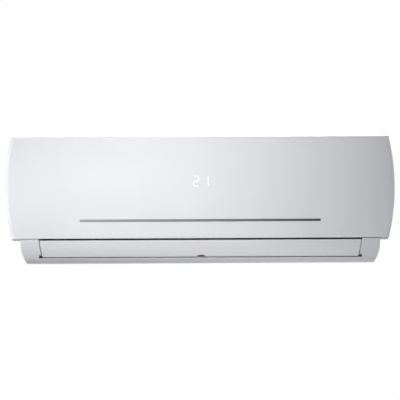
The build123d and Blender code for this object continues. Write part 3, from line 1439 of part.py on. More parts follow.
def air_vane(x, leads):
    """One vane: blade, pivot pin and the stud for the link bar, round where it leads the bar."""
    blade = make_face(
        Polyline(
            (-VANE_FRONT, VANE_LIFT),
            (-VANE_FRONT, VANE_HEIGHT - VANE_CORNER),
            (-VANE_FRONT + VANE_CORNER, VANE_HEIGHT),
            (2, VANE_HEIGHT),
            (VANE_BACK, VANE_HEIGHT - VANE_FALL),
            (VANE_BACK, LINK_NOTCH_TOP),
            (LINK_NOTCH_AT, LINK_NOTCH_TOP),
            (LINK_NOTCH_AT, VANE_LIFT),
            close=True,
        )
    )
    body = extrude(Plane.YZ.offset(-VANE_WALL / 2) * blade, VANE_WALL)
    pin_high = VANE_LIFT + VANE_WALL
    body += Pos(0, 0, (pin_high - DUCT_WALL) / 2) * Cylinder(VANE_PIN_R, pin_high + DUCT_WALL)
    stud_low = LINK_LIFT - PIN_GAP
    stud_high = LINK_NOTCH_TOP + VANE_WALL / 2
    section = Circle(LINK_PIN_R) if leads else RegularPolygon(LINK_PIN_R, HOLE_SIDES)
    body += extrude(Plane.XY.offset(stud_low) * Pos(0, LINK_AT) * section, stud_high - stud_low)
    return vane_place(x) * body


def vane_link(x_mid):
    """Bar with an eye for each vane's stud."""
    half = VANE_PITCH * (VANES_PER_GROUP - 1) / 2 + LINK_WIDTH / 2
    wide = LINK_WIDTH / 2
    bar = polygon(
        (-half, -wide / 2),
        (-half + wide / 2, -wide),
        (half - wide / 2, -wide),
        (half, -wide / 2),
        (half, wide / 2),
        (half - wide / 2, wide),
        (-half + wide / 2, wide),
        (-half, wide / 2),
    )
    first, *rest = (x - x_mid for x in vane_group(x_mid))
    bar -= disc(LINK_PIN_R + PIN_GAP, first, 0)
    bar -= [sided(LINK_PIN_R + PIN_GAP, x, 0) for x in rest]
    strip = extrude(bar, LINK_WALL)
    return vane_place(x_mid) * Pos(0, LINK_AT, LINK_LIFT) * strip


def floor_place(x):
    """Place on the duct floor over one of the lip's tabs."""
    slope = math.radians(FLOOR_SLOPE)
    normal = (0, -math.sin(slope), math.cos(slope))
    return Plane(origin=(x, TAB_Y, floor_z(TAB_Y)), x_dir=(1, 0, 0), z_dir=normal)


def casing_tabs():
    """Tabs of the lip that reach under the duct floor and take the casing's screws."""
    tabs = None
    low = -DUCT_WALL - SEAT - TAB_WALL
    front = FLOOR_END_Y - TAB_Y - TAB_FOOT
    wide = (-TAB_WIDTH / 2, TAB_WIDTH / 2)
    for x in TAB_XS:
        tab = block(wide, (front, TAB_REACH), (low, low + TAB_WALL))
        tab += block(wide, (front, FLOOR_END_Y - TAB_Y - SEAT), (low, -CUT / 2))
        piece = floor_place(x) * tab
        tabs = piece if tabs is None else tabs + piece
    return tabs


# ---- evaporator ----
def fin_pack(start, end, front_side):
    """Slab of fins between two points of its centre line, grooved on its front."""
    length = math.dist(start, end)
    plane = Plane(
        origin=(0, (start[0] + end[0]) / 2, (start[1] + end[1]) / 2),
        x_dir=(1, 0, 0),
        z_dir=(0, -(end[1] - start[1]) * front_side, (end[0] - start[0]) * front_side),
    )
    count = int((COIL_RIGHT_X - COIL_LEFT_X) / FIN_PITCH)
    x_mid = (COIL_LEFT_X + COIL_RIGHT_X) / 2
    slabs = Pos(x_mid, 0, 0) * Box(COIL_RIGHT_X - COIL_LEFT_X, length, COIL_THICK)
    face = [
        Pos(x_mid + (i - (count - 1) / 2) * FIN_PITCH, 0) * Rectangle(FIN_SLOT, length + 2 * CUT)
        for i in range(count)
    ]
    floor = Plane.XY.offset(COIL_THICK / 2 - FIN_SLOT_DEPTH)
    slots = [extrude(floor * slot, FIN_SLOT_DEPTH + CUT) for slot in face]
    return plane * (slabs - slots)


def coil_runs():
    """Centre lines of the three fin packs."""
    mid_y = COIL_FRONT_Y + COIL_THICK / 2
    return (
        ((mid_y, COIL_FRONT_LOW_Z), (mid_y, COIL_FRONT_HIGH_Z)),
        (COIL_UPPER_FROM, COIL_UPPER_TO),
        (COIL_REAR_FROM, COIL_REAR_TO),
    )


def evaporator_end_plate(x_from):
    """Sheet plate across one end of the three fin packs."""
    face = None
    for start, end in coil_runs():
        run = slab(start, end, COIL_THICK)
        face = run if face is None else face + run
    corner = polygon(
        (COIL_FRONT_Y, COIL_FRONT_HIGH_Z - CUT),
        (COIL_FRONT_Y + COIL_THICK, COIL_FRONT_HIGH_Z - CUT),
        (COIL_UPPER_FROM[0] + COIL_THICK / 2, COIL_UPPER_FROM[1] - 2 * CUT),
        (COIL_UPPER_FROM[0] - PLATE_KNEE[0], COIL_UPPER_FROM[1] + PLATE_KNEE[1]),
    )
    crown = polygon(
        (COIL_UPPER_TO[0] - PLATE_KNEE[1], COIL_UPPER_TO[1] - 2 * CUT),
        (COIL_REAR_FROM[0] + PLATE_KNEE[1], COIL_REAR_FROM[1] - 2 * CUT),
        (COIL_REAR_FROM[0] - 2 * CUT, COIL_REAR_FROM[1] - PLATE_CROWN),
        (COIL_UPPER_TO[0] + 2 * CUT, COIL_UPPER_TO[1] - PLATE_CROWN),
    )
    return across(face + corner + crown, x_from, x_from + END_PLATE_WALL)


def tube_ends():
    """(Y, Z) of the tubes along the three fin packs, in order."""
    ends = []
    for start, end in coil_runs():
        length = math.dist(start, end)
        count = int((length - 2 * TUBE_EDGE) / TUBE_PITCH) + 1
        offset_run = (length - (count - 1) * TUBE_PITCH) / 2
        ends.append([along(start, end, offset_run + i * TUBE_PITCH) for i in range(count)])
    return ends


def return_bend(first, second, x_from, side):
    """Half-round copper bend between two neighbouring tubes, out from an end plate."""
    radius = math.dist(first, second) / 2
    mid = ((first[0] + second[0]) / 2, (first[1] + second[1]) / 2)
    corner_turn = math.pi / (2 * BEND_CORNERS)
    corner_r = radius / math.cos(corner_turn)
    spots = [(x_from, *first)]
    for i in range(BEND_CORNERS):
        turn = corner_turn * (2 * i + 1)
        share = corner_r * math.cos(turn) / radius
        y = mid[0] + (first[0] - mid[0]) * share
        z = mid[1] + (first[1] - mid[1]) * share
        spots.append((x_from + side * corner_r * math.sin(turn), y, z))
    spots.append((x_from, *second))
    return straight_pipe(TUBE_R, spots, (side, 0, 0))


def evaporator_return_bends():
    """Copper bends on the left end plate."""
    x_from = COIL_LEFT_X - END_PLATE_WALL
    bends = []
    for run in tube_ends():
        for i in range(0, len(run) - 1, 2):
            bends.append(return_bend(run[i], run[i + 1], x_from, -1).solids()[0])
    return Compound(bends)


# ---- copper pipes ----


def straight_pipe(radius, points, start_way):
    """Eight-sided pipe along straight runs with mitred corners."""
    section = Plane(origin=points[0], z_dir=start_way) * RegularPolygon(radius, TUBE_SIDES)
    return sweep(section, Polyline(*points), transition=Transition.RIGHT)


def bent_run(points, bend):
    """Points of straight runs whose corners are cut in short steps along an arc."""
    spots = [Vector(*points[0])]
    for before, corner, after in zip(points, points[1:], points[2:]):
        corner = Vector(*corner)
        way_in = (corner - Vector(*before)).normalized()
        way_out = (Vector(*after) - corner).normalized()
        centre = corner - way_in * bend + way_out * bend
        for i in range(BEND_STEPS):
            turn = math.pi / 2 * i / (BEND_STEPS - 1)
            spots.append(centre - way_out * bend * math.cos(turn) + way_in * bend * math.sin(turn))
    spots.append(Vector(*points[-1]))
    return spots


def pipe(radius, bend, points):
    """Eight-sided pipe along straight runs joined by bends of a quarter turn."""
    spots = bent_run(points, bend)
    return straight_pipe(radius, spots, spots[1] - spots[0])


def gas_pipe():
    """Suction pipe from the header, down beside the motor and along the channel."""
    y = PIPE_BEHIND_Y
    return pipe(
        GAS_R,
        PIPE_BEND_R,
        [
            (HEADER_X + HEADER_R, y, GAS_LEVEL),
            (PIPE_DOWN_X + PIPE_GAP_X, y, GAS_LEVEL),
            (PIPE_DOWN_X + PIPE_GAP_X, y, GAS_LOW_Z),
            (PIPE_END_X, y, GAS_LOW_Z),
        ],
    )


def liquid_pipe():
    """Thin pipe beside the suction pipe."""
    y = PIPE_BEHIND_Y
    x_down = PIPE_DOWN_X
    return pipe(
        LIQUID_R,
        PIPE_BEND_R,
        [
            (HEADER_X + HEADER_R, y, LIQUID_LEVEL),
            (x_down, y, LIQUID_LEVEL),
            (x_down, y, LIQUID_LOW_Z),
            (PIPE_END_X, y, LIQUID_LOW_Z),
        ],
    )


def coil_header():
    """Upright header behind the evaporator with its two feeder stubs."""
    y = PIPE_BEHIND_Y
    high, low = GAS_LEVEL + HEADER_PAST, LIQUID_LEVEL - HEADER_PAST
    body = upward(sided(HEADER_R, HEADER_X, y), low, high)
    tubes = tube_ends()[2]
    for run_z, target in ((GAS_LEVEL, tubes[1]), (LIQUID_LEVEL, tubes[2])):
        x_plate = COIL_RIGHT_X + END_PLATE_WALL
        reach = HEADER_X - x_plate
        knee = (x_plate + reach / 2, *target)
        body += straight_pipe(TUBE_R, [(x_plate, *target), knee, (HEADER_X, y, run_z)], (1, 0, 0))
    return body


def flare_nut(radius, size, z):
    """Hexagon flare nut on a pipe's end."""
    hexagon = Pos(PIPE_BEHIND_Y, z) * RegularPolygon(size, NUT_SIDES)
    nut = across(hexagon, PIPE_END_X - NUT_LENGTH, PIPE_END_X + NUT_OVER)
    nut -= rod_x(radius, PIPE_END_X - NUT_LENGTH - CUT, PIPE_END_X, PIPE_BEHIND_Y, z)
    collar = sided(radius, PIPE_BEHIND_Y, z)
    return nut - across(collar, PIPE_END_X - SEAT, PIPE_END_X + NUT_OVER + CUT)


def pipe_clamp():
    """Plastic block that holds both pipes in the channel."""
    x_from = CLAMP_X
    y_front, y_rear = PIPE_BEHIND_Y - CLAMP_DEPTH / 2, PIPE_BEHIND_Y + CLAMP_DEPTH / 2
    z_low = underside_z(y_rear) + WALL + SEAT
    clamp = block((x_from, x_from + CLAMP_WIDTH), (y_front, y_rear), (z_low, LIQUID_LOW_Z + CLAMP_OVER))
    for radius, z in ((GAS_R, GAS_LOW_Z), (LIQUID_R, LIQUID_LOW_Z)):
        clamp -= across(sided(radius + SEAT, PIPE_BEHIND_Y, z), x_from - CUT, x_from + CLAMP_WIDTH + CUT)
    return clamp


# ---- electric parts ----


def electric_box():
    """Open-fronted box right of the evaporator, with an arm to the chassis."""
    x = (BOX_LEFT_X, BOX_RIGHT_X)
    z = (BOX_LOW_Z, BOX_HIGH_Z)
    body = block(x, (BOX_FRONT_Y, BOX_REAR_Y), z)
    inner_x = (x[0] + BOX_WALL, x[1] - BOX_WALL)
    inner_z = (z[0] + BOX_WALL, z[1] - BOX_WALL)
    body -= block(inner_x, (BOX_FRONT_Y - CUT, BOX_REAR_Y - BOX_WALL), inner_z)
    arm_x = (DUCT_RIGHT_X + SIDE_PLATE_WALL + SEAT, BOX_LEFT_X + CUT)
    body += block(arm_x, (BOX_REAR_Y - BOX_ARM, BOX_REAR_Y), (BOX_LOW_Z + BOX_ARM, COIL_FRONT_HIGH_Z))
    post = Rectangle(POST_WIDTH, POST_WIDTH)
    for corner_z in (inner_z[0] + POST_LOW, inner_z[1] - POST_HIGH):
        for corner_x in (inner_x[0] + POST_IN, inner_x[1] - POST_IN):
            spot = Pos(corner_x, corner_z) * post
            body += rearward(spot, BOX_REAR_Y - BOX_WALL - POST_RISE, BOX_REAR_Y - CUT)
    return body


def electric_box_cover():
    """Sheet cover over the box's front, with a folded edge."""
    x = (BOX_LEFT_X, BOX_RIGHT_X)
    z = (BOX_LOW_Z, BOX_HIGH_Z)
    front = BOX_FRONT_Y - BOX_COVER_WALL
    cover = block(x, (front, BOX_FRONT_Y), z)
    fold_x = (x[0] + BOX_WALL + SEAT, x[0] + BOX_WALL + SEAT + BOX_COVER_WALL)
    fold_z = (z[0] + BOX_WALL + SEAT, z[1] - BOX_WALL - SEAT)
    cover += block(fold_x, (front, BOX_FRONT_Y + COVER_FOLD), fold_z)
    return cover


def control_board():
    """Circuit board on the box's posts with its relay, capacitors and transformer."""
    rear = BOX_REAR_Y - BOX_WALL - POST_RISE - SEAT
    front = rear - BOARD_WALL
    x = (BOX_LEFT_X + BOX_WALL + BOARD_ROOM, BOX_RIGHT_X - BOX_WALL - BOARD_ROOM)
    z = (BOX_LOW_Z + BOX_WALL + BOARD_UP, BOX_HIGH_Z - BOX_WALL - BOARD_ROOM)
    board = block(x, (front, rear), z)
    long, high = x[1] - x[0], z[1] - z[0]
    for (left, low), (wide, tall), rise in BOARD_PARTS:
        start = (x[0] + left * long, z[0] + low * high)
        end = (start[0] + wide * long, start[1] + tall * high)
        board += block((start[0], end[0]), (front - rise, front), (start[1], end[1]))
    for left, low in CAPACITOR_SPOTS:
        spot = (x[0] + left * long, z[0] + low * high)
        board += rearward(disc(CAPACITOR_R * long, *spot), front - CAPACITOR_RISE, front)
    return board


def terminal_block():
    """Five-way terminal block with its screws, at the foot of the box."""
    rear = BOX_REAR_Y - BOX_WALL - SEAT
    x_from = BOX_LEFT_X + BOX_WALL + BOARD_ROOM
    z = (BOX_LOW_Z + BOX_WALL + SEAT, BOX_LOW_Z + BOX_WALL + TERMINAL_HIGH)
    x_to = x_from + (TERMINAL_WAYS + 0.2) * TERMINAL_PITCH
    body = block((x_from, x_to), (rear - TERMINAL_DEPTH, rear), z)
    front = rear - TERMINAL_DEPTH
    floor = rear - TERMINAL_FLOOR
    for i in range(TERMINAL_WAYS):
        place = Pos(x_from + TERMINAL_PITCH * (i + 0.6), (z[0] + z[1]) / 2)
        body -= rearward(place * Rectangle(*TERMINAL_POCKET), front - CUT, floor)
        screw = place * RegularPolygon(TERMINAL_SCREW_R, NUT_SIDES)
        body += rearward(screw, floor - 2 * CUT, floor + CUT)
    return body


def aux_button():
    """Push button behind the panel, held in the casing by its flange."""
    front = FACE_Y - BUTTON_PROUD
    flange = FACE_Y + FRONT_WALL + SEAT
    cap = rearward(disc(BUTTON_R, BUTTON_X, BUTTON_Z), front, flange)
    return cap + rearward(sided(BUTTON_R + BUTTON_RIM, BUTTON_X, BUTTON_Z), flange, flange + BUTTON_FLANGE)


def aux_switch():
    """Key switch on the box cover, behind the button."""
    rear = BOX_FRONT_Y - BOX_COVER_WALL - SEAT / 3
    front = FACE_Y + FRONT_WALL + SEAT + BUTTON_FLANGE + BUTTON_TRAVEL + SEAT
    return rearward(Pos(BUTTON_X, BUTTON_Z) * Rectangle(SWITCH_WIDTH, SWITCH_WIDTH), front, rear)


# ---- display ----


def display_board():
    """Board on four short feet over the casing's centre pad."""
    rear = FACE_Y - SEAT
    front = rear - FOOT_RISE
    place = Pos(DIGIT_X, DIGIT_Z)
    board = rearward(place * Rectangle(DISPLAY_WIDTH, DISPLAY_HEIGHT), front - BOARD_WALL, front)
    foot = Rectangle(FOOT_WIDTH, FOOT_WIDTH)
    for spot in GridLocations(DISPLAY_WIDTH - 2 * FOOT_WIDTH, DISPLAY_HEIGHT - 2 * FOOT_WIDTH, 2, 2):
        board += rearward(place * spot * foot, front - SEAT, rear)
    return board


def display_digits():
    """Digit module whose face lies just behind the panel."""
    rear = FACE_Y - SEAT - FOOT_RISE - BOARD_WALL - SEAT / 3
    front = panel_front_y(DIGIT_Z) + PANEL_WALL + SEAT
    face = Pos(DIGIT_X, DIGIT_Z) * Rectangle(DISPLAY_WIDTH - MODULE_IN, DISPLAY_HEIGHT - MODULE_IN)
    return rearward(face, front, rear)


# ---- output ----
def main():
    os.makedirs("parts", exist_ok=True)
    save("front_panel", front_panel())
    save("panel_trim_strip", panel_trim_strip())
    save("front_casing", front_casing())
    save("top_intake_grille", top_intake_grille())
    save("air_filter_left", air_filter(FILTER_LEFT))
    save("air_filter_right", air_filter(FILTER_RIGHT))
    save("outlet_flap", outlet_flap())
    save("flap_middle_bearing", flap_middle_bearing())
    save("flap_end_bushes", flap_end_bushes())
    save("flap_step_motor", flap_step_motor())
    save("flap_motor_shaft", flap_motor_shaft())
    save("cross_flow_fan", cross_flow_fan())
    save("fan_end_shaft", fan_end_shaft())
    save("fan_bearing_bush", fan_bearing_bush())
    save("fan_bearing_cup", fan_bearing_cup())
    save("fan_motor", fan_motor())
    save("fan_motor_shaft", fan_motor_shaft())
    save("fan_motor_rubbers", fan_motor_rubbers())
    save("fan_motor_cover", fan_motor_cover())
    save("rear_chassis", rear_chassis())
    save("wall_plate", wall_plate())
    save("drain_tray", drain_tray())
    save("drain_plug", drain_plug())
    for side, x_mid in (("left", LEFT_GROUP_X), ("right", RIGHT_GROUP_X)):
        for number, x in enumerate(vane_group(x_mid), start=1):
            save(f"{side}_vane_{number}", air_vane(x, number == 1))
        save(f"{side}_vane_link", vane_link(x_mid))
    front_run, upper_run, rear_run = coil_runs()
    save("evaporator_front_fins", fin_pack(*front_run, 1))
    save("evaporator_upper_fins", fin_pack(*upper_run, 1))
    save("evaporator_rear_fins", fin_pack(*rear_run, 1))
    save("evaporator_left_plate", evaporator_end_plate(COIL_LEFT_X - END_PLATE_WALL))
    save("evaporator_right_plate", evaporator_end_plate(COIL_RIGHT_X))
    save("evaporator_return_bends", evaporator_return_bends())
    save("coil_header", coil_header())
    save("gas_pipe", gas_pipe())
    save("liquid_pipe", liquid_pipe())
    save("gas_flare_nut", flare_nut(GAS_R, GAS_NUT_R, GAS_LOW_Z))
    save("liquid_flare_nut", flare_nut(LIQUID_R, LIQUID_NUT_R, LIQUID_LOW_Z))
    save("pipe_clamp", pipe_clamp())
    save("electric_box", electric_box())
    save("electric_box_cover", electric_box_cover())
    save("control_board", control_board())
    save("terminal_block", terminal_block())
    save("aux_button", aux_button())
    save("aux_switch", aux_switch())
    save("display_board", display_board())
    save("display_digits", display_digits())


if __name__ == "__main__":
    main()
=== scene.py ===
"""Looks of a wall-hung indoor air conditioner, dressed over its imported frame."""

import json
import logging
import math
from dataclasses import dataclass
from enum import Enum

import bmesh
import bpy
import numpy as np
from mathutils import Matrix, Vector


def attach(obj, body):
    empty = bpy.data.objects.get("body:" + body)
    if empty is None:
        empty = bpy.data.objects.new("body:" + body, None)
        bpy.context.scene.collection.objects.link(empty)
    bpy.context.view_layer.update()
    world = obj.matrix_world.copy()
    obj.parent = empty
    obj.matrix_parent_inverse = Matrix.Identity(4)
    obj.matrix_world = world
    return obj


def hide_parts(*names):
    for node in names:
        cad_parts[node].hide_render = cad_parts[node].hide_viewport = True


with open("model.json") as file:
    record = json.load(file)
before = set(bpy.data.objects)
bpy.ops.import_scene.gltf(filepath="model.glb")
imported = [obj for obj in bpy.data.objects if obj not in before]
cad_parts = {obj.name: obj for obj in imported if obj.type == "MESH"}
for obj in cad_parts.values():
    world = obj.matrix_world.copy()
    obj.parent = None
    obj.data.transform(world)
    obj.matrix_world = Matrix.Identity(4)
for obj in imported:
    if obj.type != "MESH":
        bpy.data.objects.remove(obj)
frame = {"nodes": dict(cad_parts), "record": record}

Socket = bpy.types.NodeSocket
Pair = tuple[float, float]
Triple = tuple[float, float, float]

MM = 0.001
# Scales of the grains, and the values between which a pattern passes from one tone to the other.
EVEN = (1.0, 1.0, 1.0)
BRUSH_STRETCH = (0.012, 1.0, 1.0)
FINE_DETAIL = 3.0
BROAD_SCALE, BROAD_DETAIL = 7.0, 2.0
# Along X, in metres: where the trim strip's painted shading runs from its lit left tone to its
# shaded right tone.
STRIP_PAINTED_SHADE = (-0.262, 0.262)
NET_STRANDS = (0.55, 0.85)
TRACK_EDGES = (0.12, 0.04)
COAT_ROUGHNESS = 0.06
BUMP_DISTANCE = 0.0005
log = logging.getLogger("indoor_unit")


class Grain(Enum):
    """How a finish's surface is broken up."""

    MOULDED = "moulded"
    BRUSHED = "brushed"
    SPANGLED = "spangled"
    NET = "net"
    BOARD = "board"
    # Painted shading: the colour runs from light on the left to dark on the right, as if lit from
    # the left.
    PAINTED_SHADE = "painted_shade"


@dataclass(frozen=True)
class Finish:
    """One finish: its colours, gloss and grain."""

    name: str
    colour: Triple
    second: Triple
    rough: Pair
    grain: Grain = Grain.MOULDED
    scale: float = 240.0
    bump: float = 0.02
    metal: float = 0.0
    coat: float = 0.0
    glow: float = 0.0

    def material(self) -> bpy.types.Material:
        """Builds the node material, or returns the one already built.

        Returns:
            The material of this finish.
        """
        found = bpy.data.materials.get(self.name)
        if found:
            return found
        made = bpy.data.materials.new(self.name)
        made.use_nodes = True
        made.diffuse_color = (*self.colour, 1.0)
        weave = Weave(made.node_tree)
        weave.feed(
            weave.shader,
            {"Metallic": self.metal, "Coat Weight": self.coat, "Coat Roughness": COAT_ROUGHNESS},
        )
        if self.glow:
            glow = {"Emission Color": (*self.second, 1.0), "Emission Strength": self.glow}
            weave.feed(weave.shader, glow)
        self._dress(weave)
        return made

    def _dress(self, weave: "Weave") -> None:
        """Links the grain's pattern to colour, roughness and bump.

        Args:
            weave: The node tree being filled.
        """
        stretched = self.grain in (Grain.BRUSHED, Grain.PAINTED_SHADE)
        place = weave.place(BRUSH_STRETCH if stretched else EVEN)
        if self.grain is Grain.SPANGLED:
            value = weave.cells(place, self.scale)
        elif self.grain is Grain.NET:
            value = weave.net(place, self.scale)
        elif self.grain is Grain.BOARD:
            value = weave.tracks(place, self.scale)
        else:
            value = weave.noise(place, self.scale, FINE_DETAIL)
        broad = weave.noise(weave.place(EVEN), BROAD_SCALE, BROAD_DETAIL)
        # Painted shading on the trim strip: its colour goes from light at the left end to dark at
        # the right end, as if lit from the left.
        if self.grain is Grain.PAINTED_SHADE:
            tint = weave.run_x(STRIP_PAINTED_SHADE)
        else:
            tint = value if self.grain in (Grain.SPANGLED, Grain.NET, Grain.BOARD) else broad
        weave.colour(tint, self.colour, self.second)
        weave.rough(value if self.grain is not Grain.NET else broad, self.rough)
        weave.bump(value, self.bump)


class Weave:
    """Small wrapper that adds and links shader nodes."""

    def __init__(self, tree: bpy.types.NodeTree) -> None:
        """Takes the fresh tree of a material or of the world.

        Args:
            tree: The tree with its default shader.
        """
        self.tree = tree
        self.shader = next(n for n in tree.nodes if n.type in ("BSDF_PRINCIPLED", "BACKGROUND"))
        self.step = 0

    def feed(self, node: bpy.types.Node, inputs: dict) -> None:
        """Sets input sockets of a node.

        Args:
            node: The node.
            inputs: For each input its value, or the output that it is linked to.
        """
        for key, value in inputs.items():
            if isinstance(value, Socket):
                self.tree.links.new(value, node.inputs[key])
            else:
                node.inputs[key].default_value = value

    def add(self, kind: str, inputs: dict | None = None, **values: object) -> bpy.types.Node:
        """Adds a node and sets it.

        Args:
            kind: Blender's node type name.
            inputs: What its input sockets are fed.
            values: Properties of the node.

        Returns:
            The new node.
        """
        node = self.tree.nodes.new(kind)
        self.step += 1
        node.location = (-260 - 190 * (self.step % 6), 300 - 210 * (self.step // 6))
        for key, value in values.items():
            setattr(node, key, value)
        self.feed(node, inputs or {})
        return node

    def place(self, stretch: Triple) -> Socket:
        """Object coordinates, scaled along each axis.

        Args:
            stretch: Scale along X, Y and Z.

        Returns:
            The vector socket.
        """
        where = self.add("ShaderNodeTexCoord").outputs["Object"]
        return self.add("ShaderNodeMapping", {"Vector": where, "Scale": stretch}).outputs["Vector"]

    def noise(self, place: Socket, scale: float, detail: float) -> Socket:
        """Cloudy value between 0 and 1.

        Args:
            place: The coordinates' socket.
            scale: Clouds to the metre, roughly.
            detail: Octaves of finer clouds.

        Returns:
            The value's socket.
        """
        inputs = {"Vector": place, "Scale": scale, "Detail": detail}
        return self.add("ShaderNodeTexNoise", inputs).outputs["Fac"]

    def cells(self, place: Socket, scale: float) -> Socket:
        """Random value for each crystal of a zinc coat.

        Args:
            place: The coordinates' socket.
            scale: Crystals to the metre.

        Returns:
            The value's socket.
        """
        inputs = {"Vector": place, "Scale": scale}
        colour = self.add("ShaderNodeTexVoronoi", inputs, feature="F1").outputs["Color"]
        return self.add("ShaderNodeSeparateColor", {"Color": colour}).outputs["Red"]

    def net(self, place: Socket, scale: float) -> Socket:
        """Value that is 1 on the strands of a square net and 0 in its holes.

        Args:
            place: The coordinates' socket.
            scale: Scale of the waves that make the strands.

        Returns:
            The value's socket.
        """
        inputs = {"Vector": place, "Scale": scale}
        bands = {
            key: self.add("ShaderNodeTexWave", inputs, bands_direction=way).outputs["Fac"]
            for key, way in enumerate("XZ")
        }
        peak = self.add("ShaderNodeMath", bands, operation="MAXIMUM")
        return self.ramp(peak.outputs[0], NET_STRANDS, "SMOOTHSTEP")

    def tracks(self, place: Socket, scale: float) -> Socket:
        """Value of 1 along the copper tracks under a circuit board's varnish.

        Args:
            place: The coordinates' socket.
            scale: Fields between the tracks to the metre.

        Returns:
            The value's socket.
        """
        inputs = {"Vector": place, "Scale": scale}
        node = self.add("ShaderNodeTexVoronoi", inputs, feature="DISTANCE_TO_EDGE")
        return self.ramp(node.outputs["Distance"], TRACK_EDGES)

    def run_x(self, limits: Pair) -> Socket:
        """Value that rises from 0 to 1 along the piece's length.

        Args:
            limits: X where it leaves 0 and where it reaches 1, in metres.

        Returns:
            The value's socket.
        """
        where = self.add("ShaderNodeTexCoord").outputs["Object"]
        split = self.add("ShaderNodeSeparateXYZ", {"Vector": where})
        return self.ramp(split.outputs["X"], limits)

    def ramp(self, value: Socket, limits: Pair, kind: str = "LINEAR") -> Socket:
        """Value that runs from 0 at the first limit to 1 at the second.

        Args:
            value: What is held against the limits.
            limits: Both limits; the second may be the lower one.
            kind: Blender's name of the interpolation.

        Returns:
            The new value's socket.
        """
        inputs = {"Value": value, "From Min": limits[0], "From Max": limits[1]}
        node = self.add("ShaderNodeMapRange", inputs, interpolation_type=kind)
        return node.outputs["Result"]

    def seen(self) -> Socket:
        """Value of 1 for the rays that are to meet white: straight, mirrored and through glass.

        Returns:
            The value's socket.
        """
        path = self.add("ShaderNodeLightPath").outputs
        last = path["Is Camera Ray"]
        for name in ("Is Glossy Ray", "Is Transmission Ray"):
            either = self.add("ShaderNodeMath", {0: last, 1: path[name]}, operation="MAXIMUM")
            last = either.outputs[0]
        return last

    def colour(self, value: Socket, low: Triple, high: Triple) -> None:
        """Base colour that runs between two tones.

        Args:
            value: Where between the tones, from 0 to 1.
            low: Tone at 0.
            high: Tone at 1.
        """
        inputs = {"Factor": value, "A": (*low, 1.0), "B": (*high, 1.0)}
        mix = self.add("ShaderNodeMix", inputs, data_type="RGBA")
        self.feed(self.shader, {"Base Color": mix.outputs["Result"]})

    def rough(self, value: Socket, limits: Pair) -> None:
        """Roughness that runs between two limits.

        Args:
            value: Where between the limits, from 0 to 1.
            limits: Roughness at 0 and at 1.
        """
        inputs = {"Value": value, "To Min": limits[0], "To Max": limits[1]}
        node = self.add("ShaderNodeMapRange", inputs)
        self.feed(self.shader, {"Roughness": node.outputs["Result"]})

    def bump(self, value: Socket, strength: float) -> None:
        """Fine relief from the same pattern.

        Args:
            value: Height of the relief, from 0 to 1.
            strength: How strongly it shows.
        """
        inputs = {"Height": value, "Strength": strength, "Distance": BUMP_DISTANCE}
        node = self.add("ShaderNodeBump", inputs)
        self.feed(self.shader, {"Normal": node.outputs["Normal"]})


PANEL_WHITE = Finish(
    "panel_white_gloss", (0.85, 0.855, 0.875), (0.81, 0.815, 0.84), (0.16, 0.24), coat=0.7
)
CASING_WHITE = Finish(
    "casing_white_satin", (0.81, 0.815, 0.84), (0.77, 0.775, 0.80), (0.30, 0.42), scale=700.0,
    bump=0.04, coat=0.25
)
FLAP_WHITE = Finish(
    "flap_white_gloss", (0.83, 0.835, 0.86), (0.79, 0.795, 0.82), (0.18, 0.27), coat=0.6
)
CHASSIS_WHITE = Finish(
    "chassis_grained", (0.70, 0.71, 0.73), (0.64, 0.65, 0.67), (0.45, 0.60), scale=900.0, bump=0.10
)
TRAY_WHITE = Finish(
    "tray_foam", (0.72, 0.73, 0.74), (0.64, 0.65, 0.66), (0.6, 0.8), scale=420.0, bump=0.22
)
VANE_WHITE = Finish(
    "vane_plastic", (0.74, 0.75, 0.77), (0.68, 0.69, 0.71), (0.38, 0.5), scale=800.0, bump=0.06
)
DARK_PLASTIC = Finish(
    "dark_plastic", (0.022, 0.023, 0.026), (0.035, 0.036, 0.04), (0.38, 0.55), bump=0.08
)
BOX_BLACK = Finish(
    "box_black", (0.03, 0.031, 0.034), (0.045, 0.046, 0.05), (0.45, 0.6), scale=800.0, bump=0.1
)
RUBBER = Finish(
    "black_rubber", (0.02, 0.02, 0.02), (0.035, 0.035, 0.034), (0.7, 0.9), scale=500.0, bump=0.2
)
BEARING_PLASTIC = Finish(
    "bearing_nylon", (0.66, 0.65, 0.61), (0.58, 0.57, 0.54), (0.35, 0.5), bump=0.04
)
BUTTON_GREY = Finish(
    "button_grey", (0.50, 0.52, 0.55), (0.45, 0.47, 0.50), (0.3, 0.42), bump=0.04, coat=0.2
)
MODULE_WHITE = Finish(
    "module_resin", (0.66, 0.70, 0.76), (0.58, 0.62, 0.68), (0.25, 0.4), bump=0.03
)
# Trim strip: the first colour is its painted lit left end, the second its painted shaded right end;
# the brushed grain is its own.
TRIM_METAL = Finish(
    "trim_brushed_painted_shade", (0.40, 0.41, 0.43), (0.075, 0.08, 0.09), (0.26, 0.40), grain=Grain.PAINTED_SHADE,
    scale=900.0, bump=0.10, metal=0.85
)
SHAFT_STEEL = Finish(
    "shaft_steel", (0.55, 0.56, 0.58), (0.42, 0.43, 0.45), (0.2, 0.36), grain=Grain.BRUSHED,
    scale=700.0, metal=1.0
)
MOTOR_STEEL = Finish(
    "motor_painted", (0.42, 0.43, 0.45), (0.36, 0.37, 0.39), (0.35, 0.5), bump=0.08, metal=0.35
)
ZINC_STEEL = Finish(
    "zinc_sheet", (0.62, 0.635, 0.66), (0.54, 0.555, 0.58), (0.28, 0.42), grain=Grain.SPANGLED,
    scale=240.0, bump=0.03, metal=0.9
)
FIN_ALUMINIUM = Finish(
    "fin_aluminium", (0.48, 0.57, 0.70), (0.38, 0.47, 0.60), (0.3, 0.45), scale=60.0, bump=0.03,
    metal=0.85
)
COPPER = Finish(
    "copper_tube", (0.72, 0.33, 0.18), (0.45, 0.19, 0.10), (0.22, 0.42), scale=90.0, bump=0.04,
    metal=1.0
)
